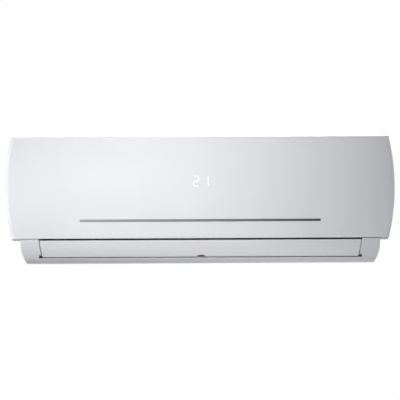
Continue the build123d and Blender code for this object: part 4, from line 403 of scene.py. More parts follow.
BRASS = Finish(
    "brass_nut", (0.72, 0.52, 0.22), (0.58, 0.40, 0.16), (0.2, 0.36), scale=140.0, bump=0.04,
    metal=1.0
)
BOARD_GREEN = Finish(
    "board_green", (0.016, 0.10, 0.045), (0.03, 0.19, 0.08), (0.3, 0.42), grain=Grain.BOARD,
    scale=160.0, bump=0.08, coat=0.4
)
FILTER_NET = Finish(
    "filter_net", (0.045, 0.055, 0.07), (0.17, 0.20, 0.24), (0.5, 0.7), grain=Grain.NET,
    scale=160.0, bump=0.5
)
FILTER_FRAME = Finish(
    "filter_frame", (0.44, 0.50, 0.57), (0.39, 0.45, 0.52), (0.4, 0.55), scale=800.0, bump=0.06
)
DIGIT_LIGHT = Finish("digit_light", (0.90, 0.93, 0.97), (0.94, 0.97, 1.0), (0.2, 0.3), glow=0.12)


@dataclass
class Patch:
    """A mesh in the making: points in millimetres and faces of four corners."""

    points: np.ndarray
    faces: np.ndarray

    def __add__(self, other: "Patch") -> "Patch":
        """Both meshes as one."""
        shifted = other.faces + len(self.points)
        return Patch(np.vstack([self.points, other.points]), np.vstack([self.faces, shifted]))


def grid_patch(points: np.ndarray, wrap_columns: bool = False) -> Patch:
    """Surface through a grid of points.

    Args:
        points: Array of shape (rows, columns, 3).
        wrap_columns: Whether the last column joins the first.

    Returns:
        The surface's patch.
    """
    rows, columns = points.shape[:2]
    index = np.arange(rows * columns).reshape(rows, columns)
    if wrap_columns:
        index = np.hstack([index, index[:, :1]])
    faces = np.stack([index[:-1, :-1], index[:-1, 1:], index[1:, 1:], index[1:, :-1]], axis=-1)
    return Patch(points.reshape(-1, 3), faces.reshape(-1, 4))


def blocks(low: np.ndarray, high: np.ndarray) -> Patch:
    """Upright boxes: corner k of a box takes low or high by the bits of k.

    Args:
        low: Lowest corners, shape (n, 3).
        high: Highest corners, shape (n, 3).

    Returns:
        One patch of all boxes.
    """
    bits = np.array([[k & 1, k >> 1 & 1, k >> 2 & 1] for k in range(8)])
    points = low[:, None, :] + bits[None] * (high - low)[:, None, :]
    sides = np.array(
        [[0, 2, 3, 1], [4, 5, 7, 6], [0, 1, 5, 4], [2, 6, 7, 3], [0, 4, 6, 2], [1, 3, 7, 5]]
    )
    faces = sides[None] + 8 * np.arange(len(low))[:, None, None]
    return Patch(points.reshape(-1, 3), faces.reshape(-1, 4))


def prism_x(outline: np.ndarray, x_from: float, x_to: float) -> Patch:
    """Straight prism of a (Y, Z) outline, its ends closed by a fan about the middle.

    Args:
        outline: Points round the outline, shape (n, 2).
        x_from: Where it starts.
        x_to: Where it ends.

    Returns:
        The closed prism.
    """
    ring = np.asarray(outline, float)
    middle = np.broadcast_to(ring.mean(axis=0), ring.shape)
    loops = [(x_from, middle), (x_from, ring), (x_to, ring), (x_to, middle)]
    points = np.stack([np.column_stack([np.full(len(ring), x), loop]) for x, loop in loops])
    return grid_patch(points, wrap_columns=True)


def turned_x(profile: np.ndarray, centre: Pair, sides: int) -> Patch:
    """Body of revolution about an axis along X: radius r and station x run down the profile.

    Args:
        profile: Stations as (x, radius), shape (n, 2), a loop or from axis to axis.
        centre: (Y, Z) of the axis.
        sides: Steps of the turn.

    Returns:
        The closed body.
    """
    turn = np.linspace(0.0, 2.0 * math.pi, sides, endpoint=False)
    x = np.repeat(profile[:, :1], sides, axis=1)
    y = centre[0] + profile[:, 1:] * np.cos(turn)
    z = centre[1] + profile[:, 1:] * np.sin(turn)
    return grid_patch(np.stack([x, y, z], axis=-1), wrap_columns=True)


def shown(name: str, data: bpy.types.ID) -> bpy.types.Object:
    """New object in the scene.

    Args:
        name: Its name.
        data: Its mesh, light or camera.

    Returns:
        The object.
    """
    made = bpy.data.objects.new(name, data)
    bpy.context.scene.collection.objects.link(made)
    return made


def piece(
    name: str, patch: Patch, finish: Finish, body: str, slot: str, crease: float = 32.0
) -> bpy.types.Object:
    """Makes a finished object from a patch, with its faces turned outward.

    Args:
        name: The piece's name.
        patch: Its mesh in millimetres.
        finish: What it is made of.
        body: The body that it rides on.
        slot: The record's material slot.
        crease: Angle in degrees past which an edge stays sharp.

    Returns:
        The new object, at the origin.
    """
    points, back = np.unique(np.round(patch.points * MM, 7), axis=0, return_inverse=True)
    faces = back.reshape(-1)[patch.faces]
    mesh = bpy.data.meshes.new(name)
    loops = [list(dict.fromkeys(face)) for face in faces.tolist()]
    mesh.from_pydata(points.tolist(), [], [loop for loop in loops if len(loop) > 2])
    mesh.validate()
    work = bmesh.new()
    work.from_mesh(mesh)
    bmesh.ops.recalc_face_normals(work, faces=work.faces)
    work.to_mesh(mesh)
    work.free()
    log.info("made %s on %s, %d faces", name, body, len(mesh.polygons))
    return placed(name, mesh, finish, body, slot, crease)


def placed(
    name: str, mesh: bpy.types.Mesh, finish: Finish, body: str, slot: str, crease: float
) -> bpy.types.Object:
    """Shades a mesh smooth and puts it in the scene with its finish, on its body.

    Args:
        name: The piece's name.
        mesh: Its mesh in metres.
        finish: What it is made of.
        body: The body that it rides on.
        slot: The record's material slot; not used.
        crease: Angle in degrees past which an edge stays sharp.

    Returns:
        The new object.
    """
    mesh.shade_smooth()
    mesh.set_sharp_from_angle(angle=math.radians(crease))
    mesh.materials.append(finish.material())
    made = shown(name, mesh)
    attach(made, body)
    return made


def smoothed(node: str, finish: Finish, crease: float = 30.0) -> bpy.types.Object:
    """Merged, smooth-shaded copy of a CAD node, in place of its loose triangles.

    Args:
        node: The node to stand for.
        finish: What it is made of.
        crease: Angle in degrees past which an edge stays sharp.

    Returns:
        The copy.
    """
    source = frame["nodes"][node].data
    flat = np.zeros(len(source.vertices) * 3)
    source.vertices.foreach_get("co", flat)
    corners = np.zeros(len(source.loops), int)
    source.loops.foreach_get("vertex_index", corners)
    points, back = np.unique(np.round(flat.reshape(-1, 3), 6), axis=0, return_inverse=True)
    faces = back.reshape(-1)[corners].reshape(-1, 3)
    whole = (faces != np.roll(faces, 1, axis=1)).all(axis=1)
    mesh = bpy.data.meshes.new(node + "_smooth")
    mesh.from_pydata(points.tolist(), [], faces[whole].tolist())
    made = placed(node + "_smooth", mesh, finish, *body_and_slot(node), crease)
    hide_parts(node)
    log.info("smoothed %s", node)
    return made


def body_and_slot(node: str) -> tuple[str, str]:
    """Body and material slot of a CAD node.

    Args:
        node: The node's name.

    Returns:
        The body's name and the slot's name.
    """
    record = frame["record"]
    bodies = record["behaviour"]["bodies"]
    body = next(name for name, members in bodies.items() if node in members)
    slot = next(s["material_slot"] for s in record["subparts"] if s["node"] == node)
    return body, slot


@dataclass
class PanelAssembly:
    """Crowned front panel with its trim strip, lugs and lit digits, in millimetres."""

    width: float = 844.88
    low: float = -82.5
    high: float = 137.5
    rear: float = -160.0
    top_rear: float = -165.0
    cut: float = 124.0
    wall: float = 2.5
    bow_radius: float = 474.6
    bow_height: float = 27.6
    crown_radius: float = 1250.0
    front: float = -179.9
    flat_half: float = 324.5
    end_run: float = 98.0
    drop_radius: float = 700.0
    end_round: float = 9.0
    top_round: float = 4.0
    low_round: float = 0.8
    rim_land: float = 0.2
    columns: tuple[float, ...] = (0.0, 60.0, 120.0, 180.0, 235.0)
    outer_columns: Pair = (290.0, 310.0)
    low_rows: tuple[float, float, int] = (-75.0, -50.0, 5)
    high_rows: tuple[float, float, int] = (-38.0, 128.0, 24)
    run_steps: int = 16
    turn_steps: int = 9
    turn_from: float = 82.0
    edge_steps: int = 7
    strip: Triple = (261.0, 2.5, -43.9)
    strip_wall: float = 1.5
    strip_soft: float = 0.45
    strip_middle: Pair = (0.12, 0.14)
    strip_taper: float = 0.6
    groove_gap: float = 0.3
    groove_depth: float = 1.2
    groove_edge: float = 0.03
    rib_heights: Pair = (88.0, -1.9)
    rib_size: Pair = (5.0, 1.8)
    hinge: Pair = (-162.0, 131.5)
    eye_radius: float = 3.1
    lug_shift: Pair = (-6.5, 1.5)
    lug_x: Pair = (393.5, 396.5)
    pin_x: float = 389.5
    pin_size: Pair = (6.0, 1.6)
    round_sides: int = 24
    digit_at: Pair = (2.0, 41.0)
    digit_size: Pair = (14.0, 24.0)
    digit_stroke: float = 3.0
    digit_gap: float = 7.0
    segment_gap: float = 0.5
    digit_proud: float = 0.06
    digit_deep: float = 0.3

    def half(self, z: np.ndarray, inset: float = 0.0) -> np.ndarray:
        """Half width at a height: an arc of bow_radius about bow_height.

        Args:
            z: Heights.
            inset: How far the arc is drawn in.

        Returns:
            Half widths.
        """
        radius = self.bow_radius - inset
        return np.sqrt(radius**2 - (z - self.bow_height) ** 2) - self.bow_radius + self.width / 2

    def face(self, x: np.ndarray, z: np.ndarray) -> np.ndarray:
        """Depth of the face: an arc over the height, met by a parabola along each end's own radius.

        The two set-backs are joined as the cube root of their summed cubes.

        Args:
            x: Places across.
            z: Heights.

        Returns:
            Depths of the face.
        """
        crown = self.crown_radius - np.sqrt(self.crown_radius**2 - (z - self.bow_height) ** 2)
        out = np.hypot(np.abs(x) + self.bow_radius - self.width / 2, z - self.bow_height)
        past = np.maximum(out - self.bow_radius + self.end_run, 0.0)
        return self.front + np.cbrt(crown**3 + (past**2 / (2 * self.drop_radius)) ** 3)

    def _rear(self, z: np.ndarray) -> np.ndarray:
        """Depth of the rim: straight, then slanting forward above the cut.

        Args:
            z: Heights.

        Returns:
            Depths of the rim.
        """
        part = np.clip((z - self.cut) / (self.high - self.cut), 0.0, 1.0)
        return self.rear + part * (self.top_rear - self.rear)

    def _columns(self) -> tuple[np.ndarray, np.ndarray, np.ndarray]:
        """Columns of the right half: |x| = a + b * half(z), and the rounding's set-back.

        Returns:
            Arrays a, b and set-back.
        """
        edge = self.strip[0] + self.groove_gap
        walls = (edge - self.groove_edge, edge + self.groove_edge)
        fixed = np.array([*self.columns, *walls, *self.outer_columns])
        run = np.linspace(0.0, 1.0, self.run_steps)[1:]
        turn = np.radians(np.linspace(self.turn_from, 0.0, self.turn_steps))
        between = self.outer_columns[1] * (1 - run) - self.end_round * run
        a = np.concatenate([fixed, between, -self.end_round * (1 - np.cos(turn))])
        b = np.concatenate([fixed * 0, run, turn * 0 + 1])
        back = np.concatenate([fixed * 0, run * 0, self.end_round * (1 - np.sin(turn))])
        return a, b, back

    def _rows(self) -> tuple[np.ndarray, np.ndarray]:
        """Heights of the rows and the set-back of the rounded top and bottom edges.

        Returns:
            Arrays of heights and set-backs.
        """
        turn = np.radians(np.linspace(0.0, 90.0, self.edge_steps))
        z_low = self.low + self.low_round * (1 - np.cos(turn))
        z_high = self.high - self.top_round * (1 - np.cos(turn[::-1]))
        reach, edge = self.strip[1] + self.groove_gap, self.groove_edge
        walls = [-reach - edge, -reach + edge, reach - edge, reach + edge]
        groove = self.strip[2] + np.array(walls)
        body = np.concatenate([np.linspace(*self.low_rows), groove, np.linspace(*self.high_rows)])
        z = np.concatenate([z_low, body, z_high])
        back_low = self.low_round * (1 - np.sin(turn))
        back_high = self.top_round * (1 - np.sin(turn[::-1]))
        return z, np.concatenate([back_low, body * 0, back_high])

    def shell(self) -> Patch:
        """Outer and inner skins on one grid, joined round the rim.

        The set-backs of ends and edges are joined as the cube root of their summed cubes. The
        groove is a rectangle pushed in by its depth. The grid's outermost ring lies on the rim.

        Returns:
            The closed shell.
        """
        a, b, back = self._columns()
        sign = np.concatenate([-np.ones(len(a) - 1), np.ones(len(a))])
        a, b, back = (np.concatenate([v[:0:-1], v]) for v in (a, b, back))
        z, row_back = self._rows()
        z_grid = np.repeat(z[:, None], len(a), axis=1)
        x_grid = sign * (a + b * self.half(z_grid))
        inset = np.cbrt(back[None, :] ** 3 + row_back[:, None] ** 3)
        outer = self._skin(x_grid, z_grid, inset, 0.0)
        half_in = self.half(z_grid, self.wall) / self.half(z_grid)
        middle = (self.low + self.high) / 2
        shrink = 1 - 2 * self.wall / (self.high - self.low)
        z_in = middle + (z_grid - middle) * shrink
        inner = self._skin(x_grid * half_in, z_in, inset, self.wall)
        size = outer.shape[0] * outer.shape[1]
        index = np.arange(size).reshape(outer.shape[:2])
        ring = np.concatenate([index[0], index[1:, -1], index[-1, -2::-1], index[-2:0:-1, 0]])
        after = np.roll(ring, -1)
        rim = np.stack([ring, after, after + size, ring + size], axis=-1)
        both = grid_patch(outer) + grid_patch(inner)
        return Patch(both.points, np.vstack([both.faces, rim]))

    def _skin(self, x: np.ndarray, z: np.ndarray, inset: np.ndarray, deep: float) -> np.ndarray:
        """Points of one skin with its rim ring.

        Args:
            x: Grid of X.
            z: Grid of Z.
            inset: Set-back of the rounded edges.
            deep: How far behind the face the skin lies.

        Returns:
            Array of shape (rows + 2, columns + 2, 3).
        """
        y = self.face(x, z) + inset + deep
        if not deep:
            in_x = np.abs(x) < self.strip[0] + self.groove_gap
            in_z = np.abs(z - self.strip[2]) < self.strip[1] + self.groove_gap
            y = y + self.groove_depth * (in_x & in_z)
        y = np.minimum(y, self._rear(z) - self.rim_land)
        x, y, z = (np.pad(v, 1, mode="edge") for v in (x, y, z))
        on_rim = np.ones_like(y, bool)
        on_rim[1:-1, 1:-1] = False
        y = np.where(on_rim, self._rear(z), y)
        return np.stack([x, y, z], axis=-1)

    def strip_bar(self) -> Patch:
        """Trim strip: a profile with rounded front edges, carried along X and drawn in at its ends.

        Returns:
            The closed bar.
        """
        half, high, z = self.strip
        soft, (step, back) = self.strip_soft, self.strip_middle
        front = self.face(np.array(0.0), np.array(z)) + self.groove_depth - self.strip_wall
        rear = front + self.strip_wall
        turn = np.radians(np.linspace(0, 90, 5))
        side_y = front + soft * (1 - np.sin(turn))
        side_z = high - soft * (1 - np.cos(turn))
        y = np.concatenate([[rear], side_y, side_y[::-1], [rear]])
        level = np.concatenate([[high], side_z, -side_z[::-1], [-high]])
        stations = np.array([-half, -half + step, -half + soft, half - soft, half - step, half])
        draw = np.array([soft, back, 0.0, 0.0, back, soft])
        x = np.repeat(stations[:, None], len(y), axis=1)
        y_grid = np.minimum(y[None] + draw[:, None], rear)
        z_grid = z + level[None] * (1 - draw[:, None] / high * self.strip_taper)
        loops = np.stack([x, y_grid, z_grid], axis=-1)
        ends = loops[[0, -1]].mean(axis=1, keepdims=True).repeat(len(y), axis=1)
        return grid_patch(np.concatenate([ends[:1], loops, ends[1:]]), wrap_columns=True)

    def ribs_and_lugs(self) -> Patch:
        """Two stiffening ribs inside, and the hinge lugs with their pins at both ends.

        A lug's outline is the eye round the pin, with its front part moved up to the panel.

        Returns:
            Ribs, lugs and pins.
        """
        heights = np.array(self.rib_heights)
        deep, wall = self.rib_size
        inner = self.face(np.zeros(2), heights) + self.wall
        reach = np.full(2, self.flat_half)
        low = np.column_stack([-reach, inner - self.rim_land, heights - wall / 2])
        high = np.column_stack([reach, inner + deep, heights + wall / 2])
        made = blocks(low, high)
        turn = np.linspace(0, 2 * math.pi, self.round_sides, endpoint=False)
        eye = np.array(self.hinge) + self.eye_radius * np.column_stack([np.cos(turn), np.sin(turn)])
        moved = (turn > math.pi / 2) & (turn < math.pi * 1.2)
        lug = np.where(moved[:, None], eye + self.lug_shift, eye)
        long, radius = self.pin_size
        pin = np.array([[0, 0], [0, radius], [long, radius], [long, 0]])
        for side in (-1, 1):
            made += prism_x(lug, side * self.lug_x[0], side * self.lug_x[1])
            stations = np.column_stack([side * (self.pin_x + pin[:, 0]), pin[:, 1]])
            made += turned_x(stations, self.hinge, self.round_sides)
        return made

    def digits(self, number: str) -> Patch:
        """Segment numerals: each lit segment is a bar with pointed ends.

        Args:
            number: The numerals, twos and ones.

        Returns:
            All lit segments.
        """
        lit = {"2": "abged", "1": "bc"}
        size = np.array(self.digit_size)
        spans = {
            "a": ((-1, 1), (1, 1)),
            "b": ((1, 1), (1, 0)),
            "c": ((1, 0), (1, -1)),
            "d": ((-1, -1), (1, -1)),
            "e": ((-1, 0), (-1, -1)),
            "g": ((-1, 0), (1, 0)),
        }
        made: Patch | None = None
        for place, numeral in enumerate(number):
            shift = place - (len(number) - 1) / 2
            x_mid = self.digit_at[0] + shift * (size[0] + self.digit_gap)
            for key in lit[numeral]:
                bar = self._segment(spans[key] * (size - self.digit_stroke) / 2, x_mid)
                made = bar if made is None else made + bar
        return made

    def _segment(self, span: np.ndarray, x_mid: float) -> Patch:
        """One segment: a hexagon about its span's line, laid on the crowned face.

        Args:
            span: Both ends, relative to the numeral's middle.
            x_mid: X of the numeral's middle.

        Returns:
            The closed segment.
        """
        start, end = span
        way = (end - start) / np.linalg.norm(end - start)
        out = np.array([-way[1], way[0]]) * self.digit_stroke / 2
        start, end = start + way * self.segment_gap, end - way * self.segment_gap
        tip = way * self.digit_stroke / 2
        near, far = start + tip, end - tip
        ring = np.array([start, near + out, far + out, end, far - out, near - out])
        middle = np.broadcast_to(ring.mean(axis=0), ring.shape)
        flat = np.stack([middle, ring, ring, middle]) + np.array([x_mid, self.digit_at[1]])
        depth = self.face(flat[..., 0], flat[..., 1]) - self.digit_proud
        depth[2:] += self.digit_deep
        return grid_patch(np.stack([flat[..., 0], depth, flat[..., 1]], axis=-1), wrap_columns=True)

    def build(self) -> None:
        """Makes the panel's pieces."""
        body, slot = "front_panel", "panel_white"
        shell = piece("panel_shell", self.shell(), PANEL_WHITE, body, slot, 38.0)
        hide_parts("front_panel")
        inside = piece("panel_ribs_lugs", self.ribs_and_lugs(), PANEL_WHITE, body, slot)
        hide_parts("front_panel")
        strip = piece("panel_strip", self.strip_bar(), TRIM_METAL, body, "trim_metal", 50.0)
        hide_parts("panel_trim_strip")
        piece("panel_digits", self.digits("21"), DIGIT_LIGHT, body, "digit_module")


@dataclass
class CasingAssembly:
    """Casing, button, top grille, nets of the filters and the duct's screws, in millimetres."""

    grille_x: float = 375.7
    grille_y: Pair = (-145.7, -26.3)
    grille_z: Pair = (131.4, 134.7)
    grille_frame: float = 3.0
    grille_lap: float = 1.0
    slats: int = 20
    slat_wall: float = 1.8
    slat_drop: float = 0.3
    bars: int = 12
    bar_wall: float = 2.0
    bar_inset: Pair = (0.2, 0.8)
    screw_x: tuple[float, ...] = (-331.0, -15.0, 301.0)
    screw_at: Pair = (-136.0, -115.47)
    screw_head: Pair = (3.6, 1.5)
    screw_dome: float = 0.85
    screw_cross: Triple = (0.45, 1.8, 0.8)
    screw_sunk: float = 0.1
    floor_slope: float = 12.0
    net_wall: float = 0.7
    net_edge: float = 2.0
    net_top: float = 118.0

    def grille(self) -> Patch:
        """Frame, slats along X and cross bars, each a row of boxes.

        Returns:
            The whole grille.
        """
        x, (y0, y1), (z0, z1) = self.grille_x, self.grille_y, self.grille_z
        edge, lap = self.grille_frame, self.grille_lap
        low = [[-x, y0, z0], [-x, y1 - edge, z0], [-x, y0, z0], [x - edge, y0, z0]]
        high = [[x, y0 + edge, z1], [x, y1, z1], [-x + edge, y1, z1], [x, y1, z1]]
        for y in np.linspace(y0 + edge, y1 - edge, self.slats + 2)[1:-1]:
            low.append([-x + lap, y - self.slat_wall / 2, z0])
            high.append([x - lap, y + self.slat_wall / 2, z1 - self.slat_drop])
        for middle in np.linspace(-x, x, self.bars + 2)[1:-1]:
            low.append([middle - self.bar_wall / 2, y0 + lap, z0 + self.bar_inset[0]])
            high.append([middle + self.bar_wall / 2, y1 - lap, z1 - self.bar_inset[1]])
        return blocks(np.array(low), np.array(high))

    def screws(self) -> Patch:
        """Domed heads with a crossed recess, on the duct's sloping floor.

        Over the head's radius r the height is h * sqrt(1 - dome * (r / R)^2), less the cross's
        depth where the point lies in either of its arms.

        Returns:
            The three heads.
        """
        wide, tall = self.screw_head
        arm_half, arm_reach, arm_deep = self.screw_cross
        shares = np.concatenate([np.linspace(0, 0.56, 9), np.linspace(0.62, 1.0, 6), [1.0, 0.0]])
        reach = shares * wide
        turn = np.linspace(0, 2 * math.pi, 48, endpoint=False)
        u = reach[:, None] * np.cos(turn)
        v = reach[:, None] * np.sin(turn)
        dome = tall * np.sqrt(1 - self.screw_dome * (reach[:, None] / wide) ** 2) * np.ones_like(u)
        less, more = np.minimum(abs(u), abs(v)), np.maximum(abs(u), abs(v))
        height = dome - arm_deep * ((less < arm_half) & (more < arm_reach))
        height[-2:] = -self.screw_sunk
        slope = math.radians(self.floor_slope)
        y = self.screw_at[0] + v * math.cos(slope) - height * math.sin(slope)
        z = self.screw_at[1] + v * math.sin(slope) + height * math.cos(slope)
        left, middle, right = (
            grid_patch(np.stack([x + u, y, z], axis=-1), wrap_columns=True) for x in self.screw_x
        )
        return left + middle + right

    def net(self, node: str) -> Patch:
        """Sheet of net that fills a filter's frame: a slab in the frame's middle plane.

        Args:
            node: The filter's node.

        Returns:
            The slab.
        """
        points = np.array([corner.co for corner in frame["nodes"][node].data.vertices]) / MM
        low, high = points.min(axis=0), points.max(axis=0)
        middle = (low[1] + high[1]) / 2
        start = [low[0] + self.net_edge, middle - self.net_wall / 2, low[2] + self.net_edge]
        end = [high[0] - self.net_edge, middle + self.net_wall / 2, self.net_top]
        return blocks(np.array([start]), np.array([end]))

    def build(self) -> None:
        """Makes the casing's pieces."""
        smoothed("front_casing", CASING_WHITE)
        smoothed("aux_button", BUTTON_GREY)
        for side in ("left", "right"):
            sheet = self.net(f"air_filter_{side}")
            piece(f"filter_{side}_net", sheet, FILTER_NET, f"filter_{side}", "filter_grey")
        piece("duct_screws", self.screws(), SHAFT_STEEL, "housing", "shaft_steel", 40.0)
        grille = piece("top_slats", self.grille(), CASING_WHITE, "housing", "casing_white")
        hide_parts("top_intake_grille")


@dataclass
class AirPath:
    """Flap, vanes, fan and the coil, all that the air passes, in millimetres."""

    fan_centre: Pair = (-80.0, -34.0)
    fan_x: Pair = (-334.0, 304.0)
    fan_radius: float = 44.0
    fan_bore: float = 4.1
    hub_size: Pair = (14.0, 11.0)
    ring_wall: float = 2.4
    ring_over: float = 1.0
    round_sides: int = 70
    blades: int = 35
    rings: int = 10
    blade_depth: float = 10.0
    blade_inset: float = 0.5
    blade_end: float = 1.0
    blade_lean: Pair = (0.32, 1.6)
    blade_wall: Triple = (0.25, 0.75, 1.6)
    coil_x: Pair = (-322.0, 290.0)
    fin_pitch: float = 2.4
    fin_wall: float = 0.5
    fin_depth: float = 18.0
    fin_start: float = 0.2
    core_share: float = 0.86
    core_end: float = 0.5
    fin_runs: tuple[tuple[str, Pair, Pair], ...] = (
        ("evaporator_front_fins", (-141.5, -56.0), (-141.5, 40.0)),
        ("evaporator_upper_fins", (-137.0, 50.0), (-100.0, 106.0)),
        ("evaporator_rear_fins", (-84.0, 107.0), (-40.0, 48.0)),
    )

    def rotor(self) -> Patch:
        """Fan drum: end discs and rings turned about X, and blades of one curved section.

        With t from 0 at the inner radius to 1 at the outer, blade_lean (a, n) turns a blade's
        middle line forward by a * t^n radians, and blade_wall (b, c, d) makes its half thickness
        (b + c * sin(pi * t)) / d millimetres.

        Returns:
            The whole rotor.
        """
        x0, x1 = self.fan_x
        rim, wall, bore = self.fan_radius, self.ring_wall, self.fan_bore
        outer, inner = rim - self.blade_inset, rim - self.blade_depth
        eye = inner - self.ring_over
        spots = np.linspace(x0, x1 - wall, self.rings)
        ring = np.array([[0, eye], [0, rim], [wall, rim], [wall, eye], [0, eye]])
        made: Patch | None = None
        for x in spots[1:-1]:
            turned = turned_x(ring + [x, 0], self.fan_centre, self.round_sides)
            made = turned if made is None else made + turned
        long, hub = self.hub_size
        disc = np.array(
            [[0, bore], [0, rim], [wall, rim], [wall, hub], [long, hub], [long, bore], [0, bore]]
        )
        made += turned_x(disc + [x0, 0], self.fan_centre, self.round_sides)
        made += turned_x(disc * [-1, 1] + [x1, 0], self.fan_centre, self.round_sides)
        part = np.linspace(0, 1, 7)
        radius = inner + (outer - inner) * part
        lean = self.blade_lean[0] * part ** self.blade_lean[1]
        low, more, share = self.blade_wall
        half = (low + more * np.sin(math.pi * part)) / radius / share
        sweep = np.concatenate([lean + half, (lean - half)[::-1]])
        reach = np.concatenate([radius, radius[::-1]])
        turns = np.arange(self.blades) * 2 * math.pi / self.blades
        angle = turns[:, None] + sweep[None]
        y = self.fan_centre[0] + reach * np.cos(angle)
        z = self.fan_centre[1] + reach * np.sin(angle)
        for k in range(self.blades):
            section = np.column_stack([y[k], z[k]])
            made += prism_x(section, x0 + self.blade_end, x1 - self.blade_end)
        return made

    def fins(self, start: Pair, end: Pair) -> Patch:
        """Row of thin sheets square to X over the run from start to end.

        Args:
            start: (Y, Z) of the run's lower end.
            end: (Y, Z) of its upper end.

        Returns:
            All the sheets, and the plain core that shows between them.
        """
        first, last = np.array(start), np.array(end)
        way = (last - first) / np.linalg.norm(last - first)
        out = np.array([-way[1], way[0]]) * self.fin_depth / 2
        outline = np.array([first - out, first + out, last + out, last - out])
        x_from, x_to = self.coil_x
        x = np.arange(x_from + self.fin_start, x_to - self.fin_wall, self.fin_pitch)
        points = np.empty((len(x), 2, 4, 3))
        points[..., 0] = np.stack([x, x + self.fin_wall], axis=-1)[..., None]
        points[..., 1:] = outline
        sides = np.array(
            [[0, 1, 5, 4], [1, 2, 6, 5], [2, 3, 7, 6], [3, 0, 4, 7], [3, 2, 1, 0], [4, 5, 6, 7]]
        )
        faces = sides[None] + 8 * np.arange(len(x))[:, None, None]
        sheets = Patch(points.reshape(-1, 3), faces.reshape(-1, 4))
        middle = outline.mean(axis=0)
        core = middle + (outline - middle) * self.core_share
        return sheets + prism_x(core, x_from + self.core_end, x_to - self.core_end)

    def build(self) -> None:
        """Makes the pieces of the air path."""
        smoothed("outlet_flap", FLAP_WHITE)
        rotor = piece("fan_rotor", self.rotor(), DARK_PLASTIC, "fan", "dark_plastic", 40.0)
        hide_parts("cross_flow_fan")
        for node, start, end in self.fin_runs:
            sheets = self.fins(start, end)
            pack = piece(node + "_sheets", sheets, FIN_ALUMINIUM, "housing", "fin_aluminium")
            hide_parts(node)
        for side in ("left", "right"):
            for number in range(1, 6):
                smoothed(f"{side}_vane_{number}", VANE_WHITE)
            smoothed(f"{side}_vane_link", VANE_WHITE)


@dataclass
class InnerWorks:
    """The other nodes: rounded ones get a smooth copy, flat ones keep their solid."""

    rounded: tuple[tuple, ...] = (
        (CHASSIS_WHITE, "rear_chassis"),
        (TRAY_WHITE, "drain_tray"),
        (COPPER, "evaporator_return_bends", "coil_header", "gas_pipe", "liquid_pipe"),
        (BRASS, "gas_flare_nut", "liquid_flare_nut"),
        (MOTOR_STEEL, "fan_motor"),
        (SHAFT_STEEL, "fan_motor_shaft", "fan_end_shaft", "flap_motor_shaft"),
        (CHASSIS_WHITE, "fan_motor_cover"),
        (RUBBER, "fan_motor_rubbers", "fan_bearing_cup"),
        (BRASS, "fan_bearing_bush"),
        (RUBBER, "drain_plug"),
        (MOTOR_STEEL, "flap_step_motor"),
        (BEARING_PLASTIC, "flap_end_bushes"),
        (DARK_PLASTIC, "flap_middle_bearing"),
        (CHASSIS_WHITE, "pipe_clamp"),
        (BOARD_GREEN, "control_board"),
    )
    flat: tuple[tuple, ...] = (
        (ZINC_STEEL, "wall_plate"),
        (FILTER_FRAME, "air_filter_left", "air_filter_right"),
        (ZINC_STEEL, "evaporator_left_plate", "evaporator_right_plate"),
        (BOX_BLACK, "electric_box"),
        (ZINC_STEEL, "electric_box_cover"),
        (BOX_BLACK, "terminal_block"),
        (DARK_PLASTIC, "aux_switch"),
        (BOARD_GREEN, "display_board"),
        (MODULE_WHITE, "display_digits"),
    )

    def build(self) -> None:
        """Smooths the rounded nodes and dresses the flat ones."""
        for finish, *nodes in self.rounded:
            for node in nodes:
                smoothed(node, finish)
        for finish, *nodes in self.flat:
            for node in nodes:
                mesh = frame["nodes"][node].data
                mesh.materials.clear()
                mesh.materials.append(finish.material())
                log.info("dressed %s", node)


@dataclass(frozen=True)
class Lamp:
    """One soft lamp: a panel, or a spot where it has a cone; mirrored if glossy things show it."""

    name: str
    spot: Triple
    aim: Triple
    size: Pair
    power: float
    cone: float = 0.0
    mirrored: bool = False

    def hang(self) -> None:
        """Puts the lamp in the scene, turned to its aim."""
        light = bpy.data.lights.new(self.name, "SPOT" if self.cone else "AREA")
        light.energy = self.power
        if self.cone:
            light.spot_size = math.radians(self.cone)
            light.spot_blend = 1.0
            light.shadow_soft_size = self.size[0]
        else:
            light.shape = "RECTANGLE"
            light.size, light.size_y = self.size
        made = shown(self.name, light)
        made.location = self.spot
        way = Vector(self.aim) - Vector(self.spot)
        made.rotation_euler = way.to_track_quat("-Z", "Y").to_euler()
        made.visible_glossy = self.mirrored


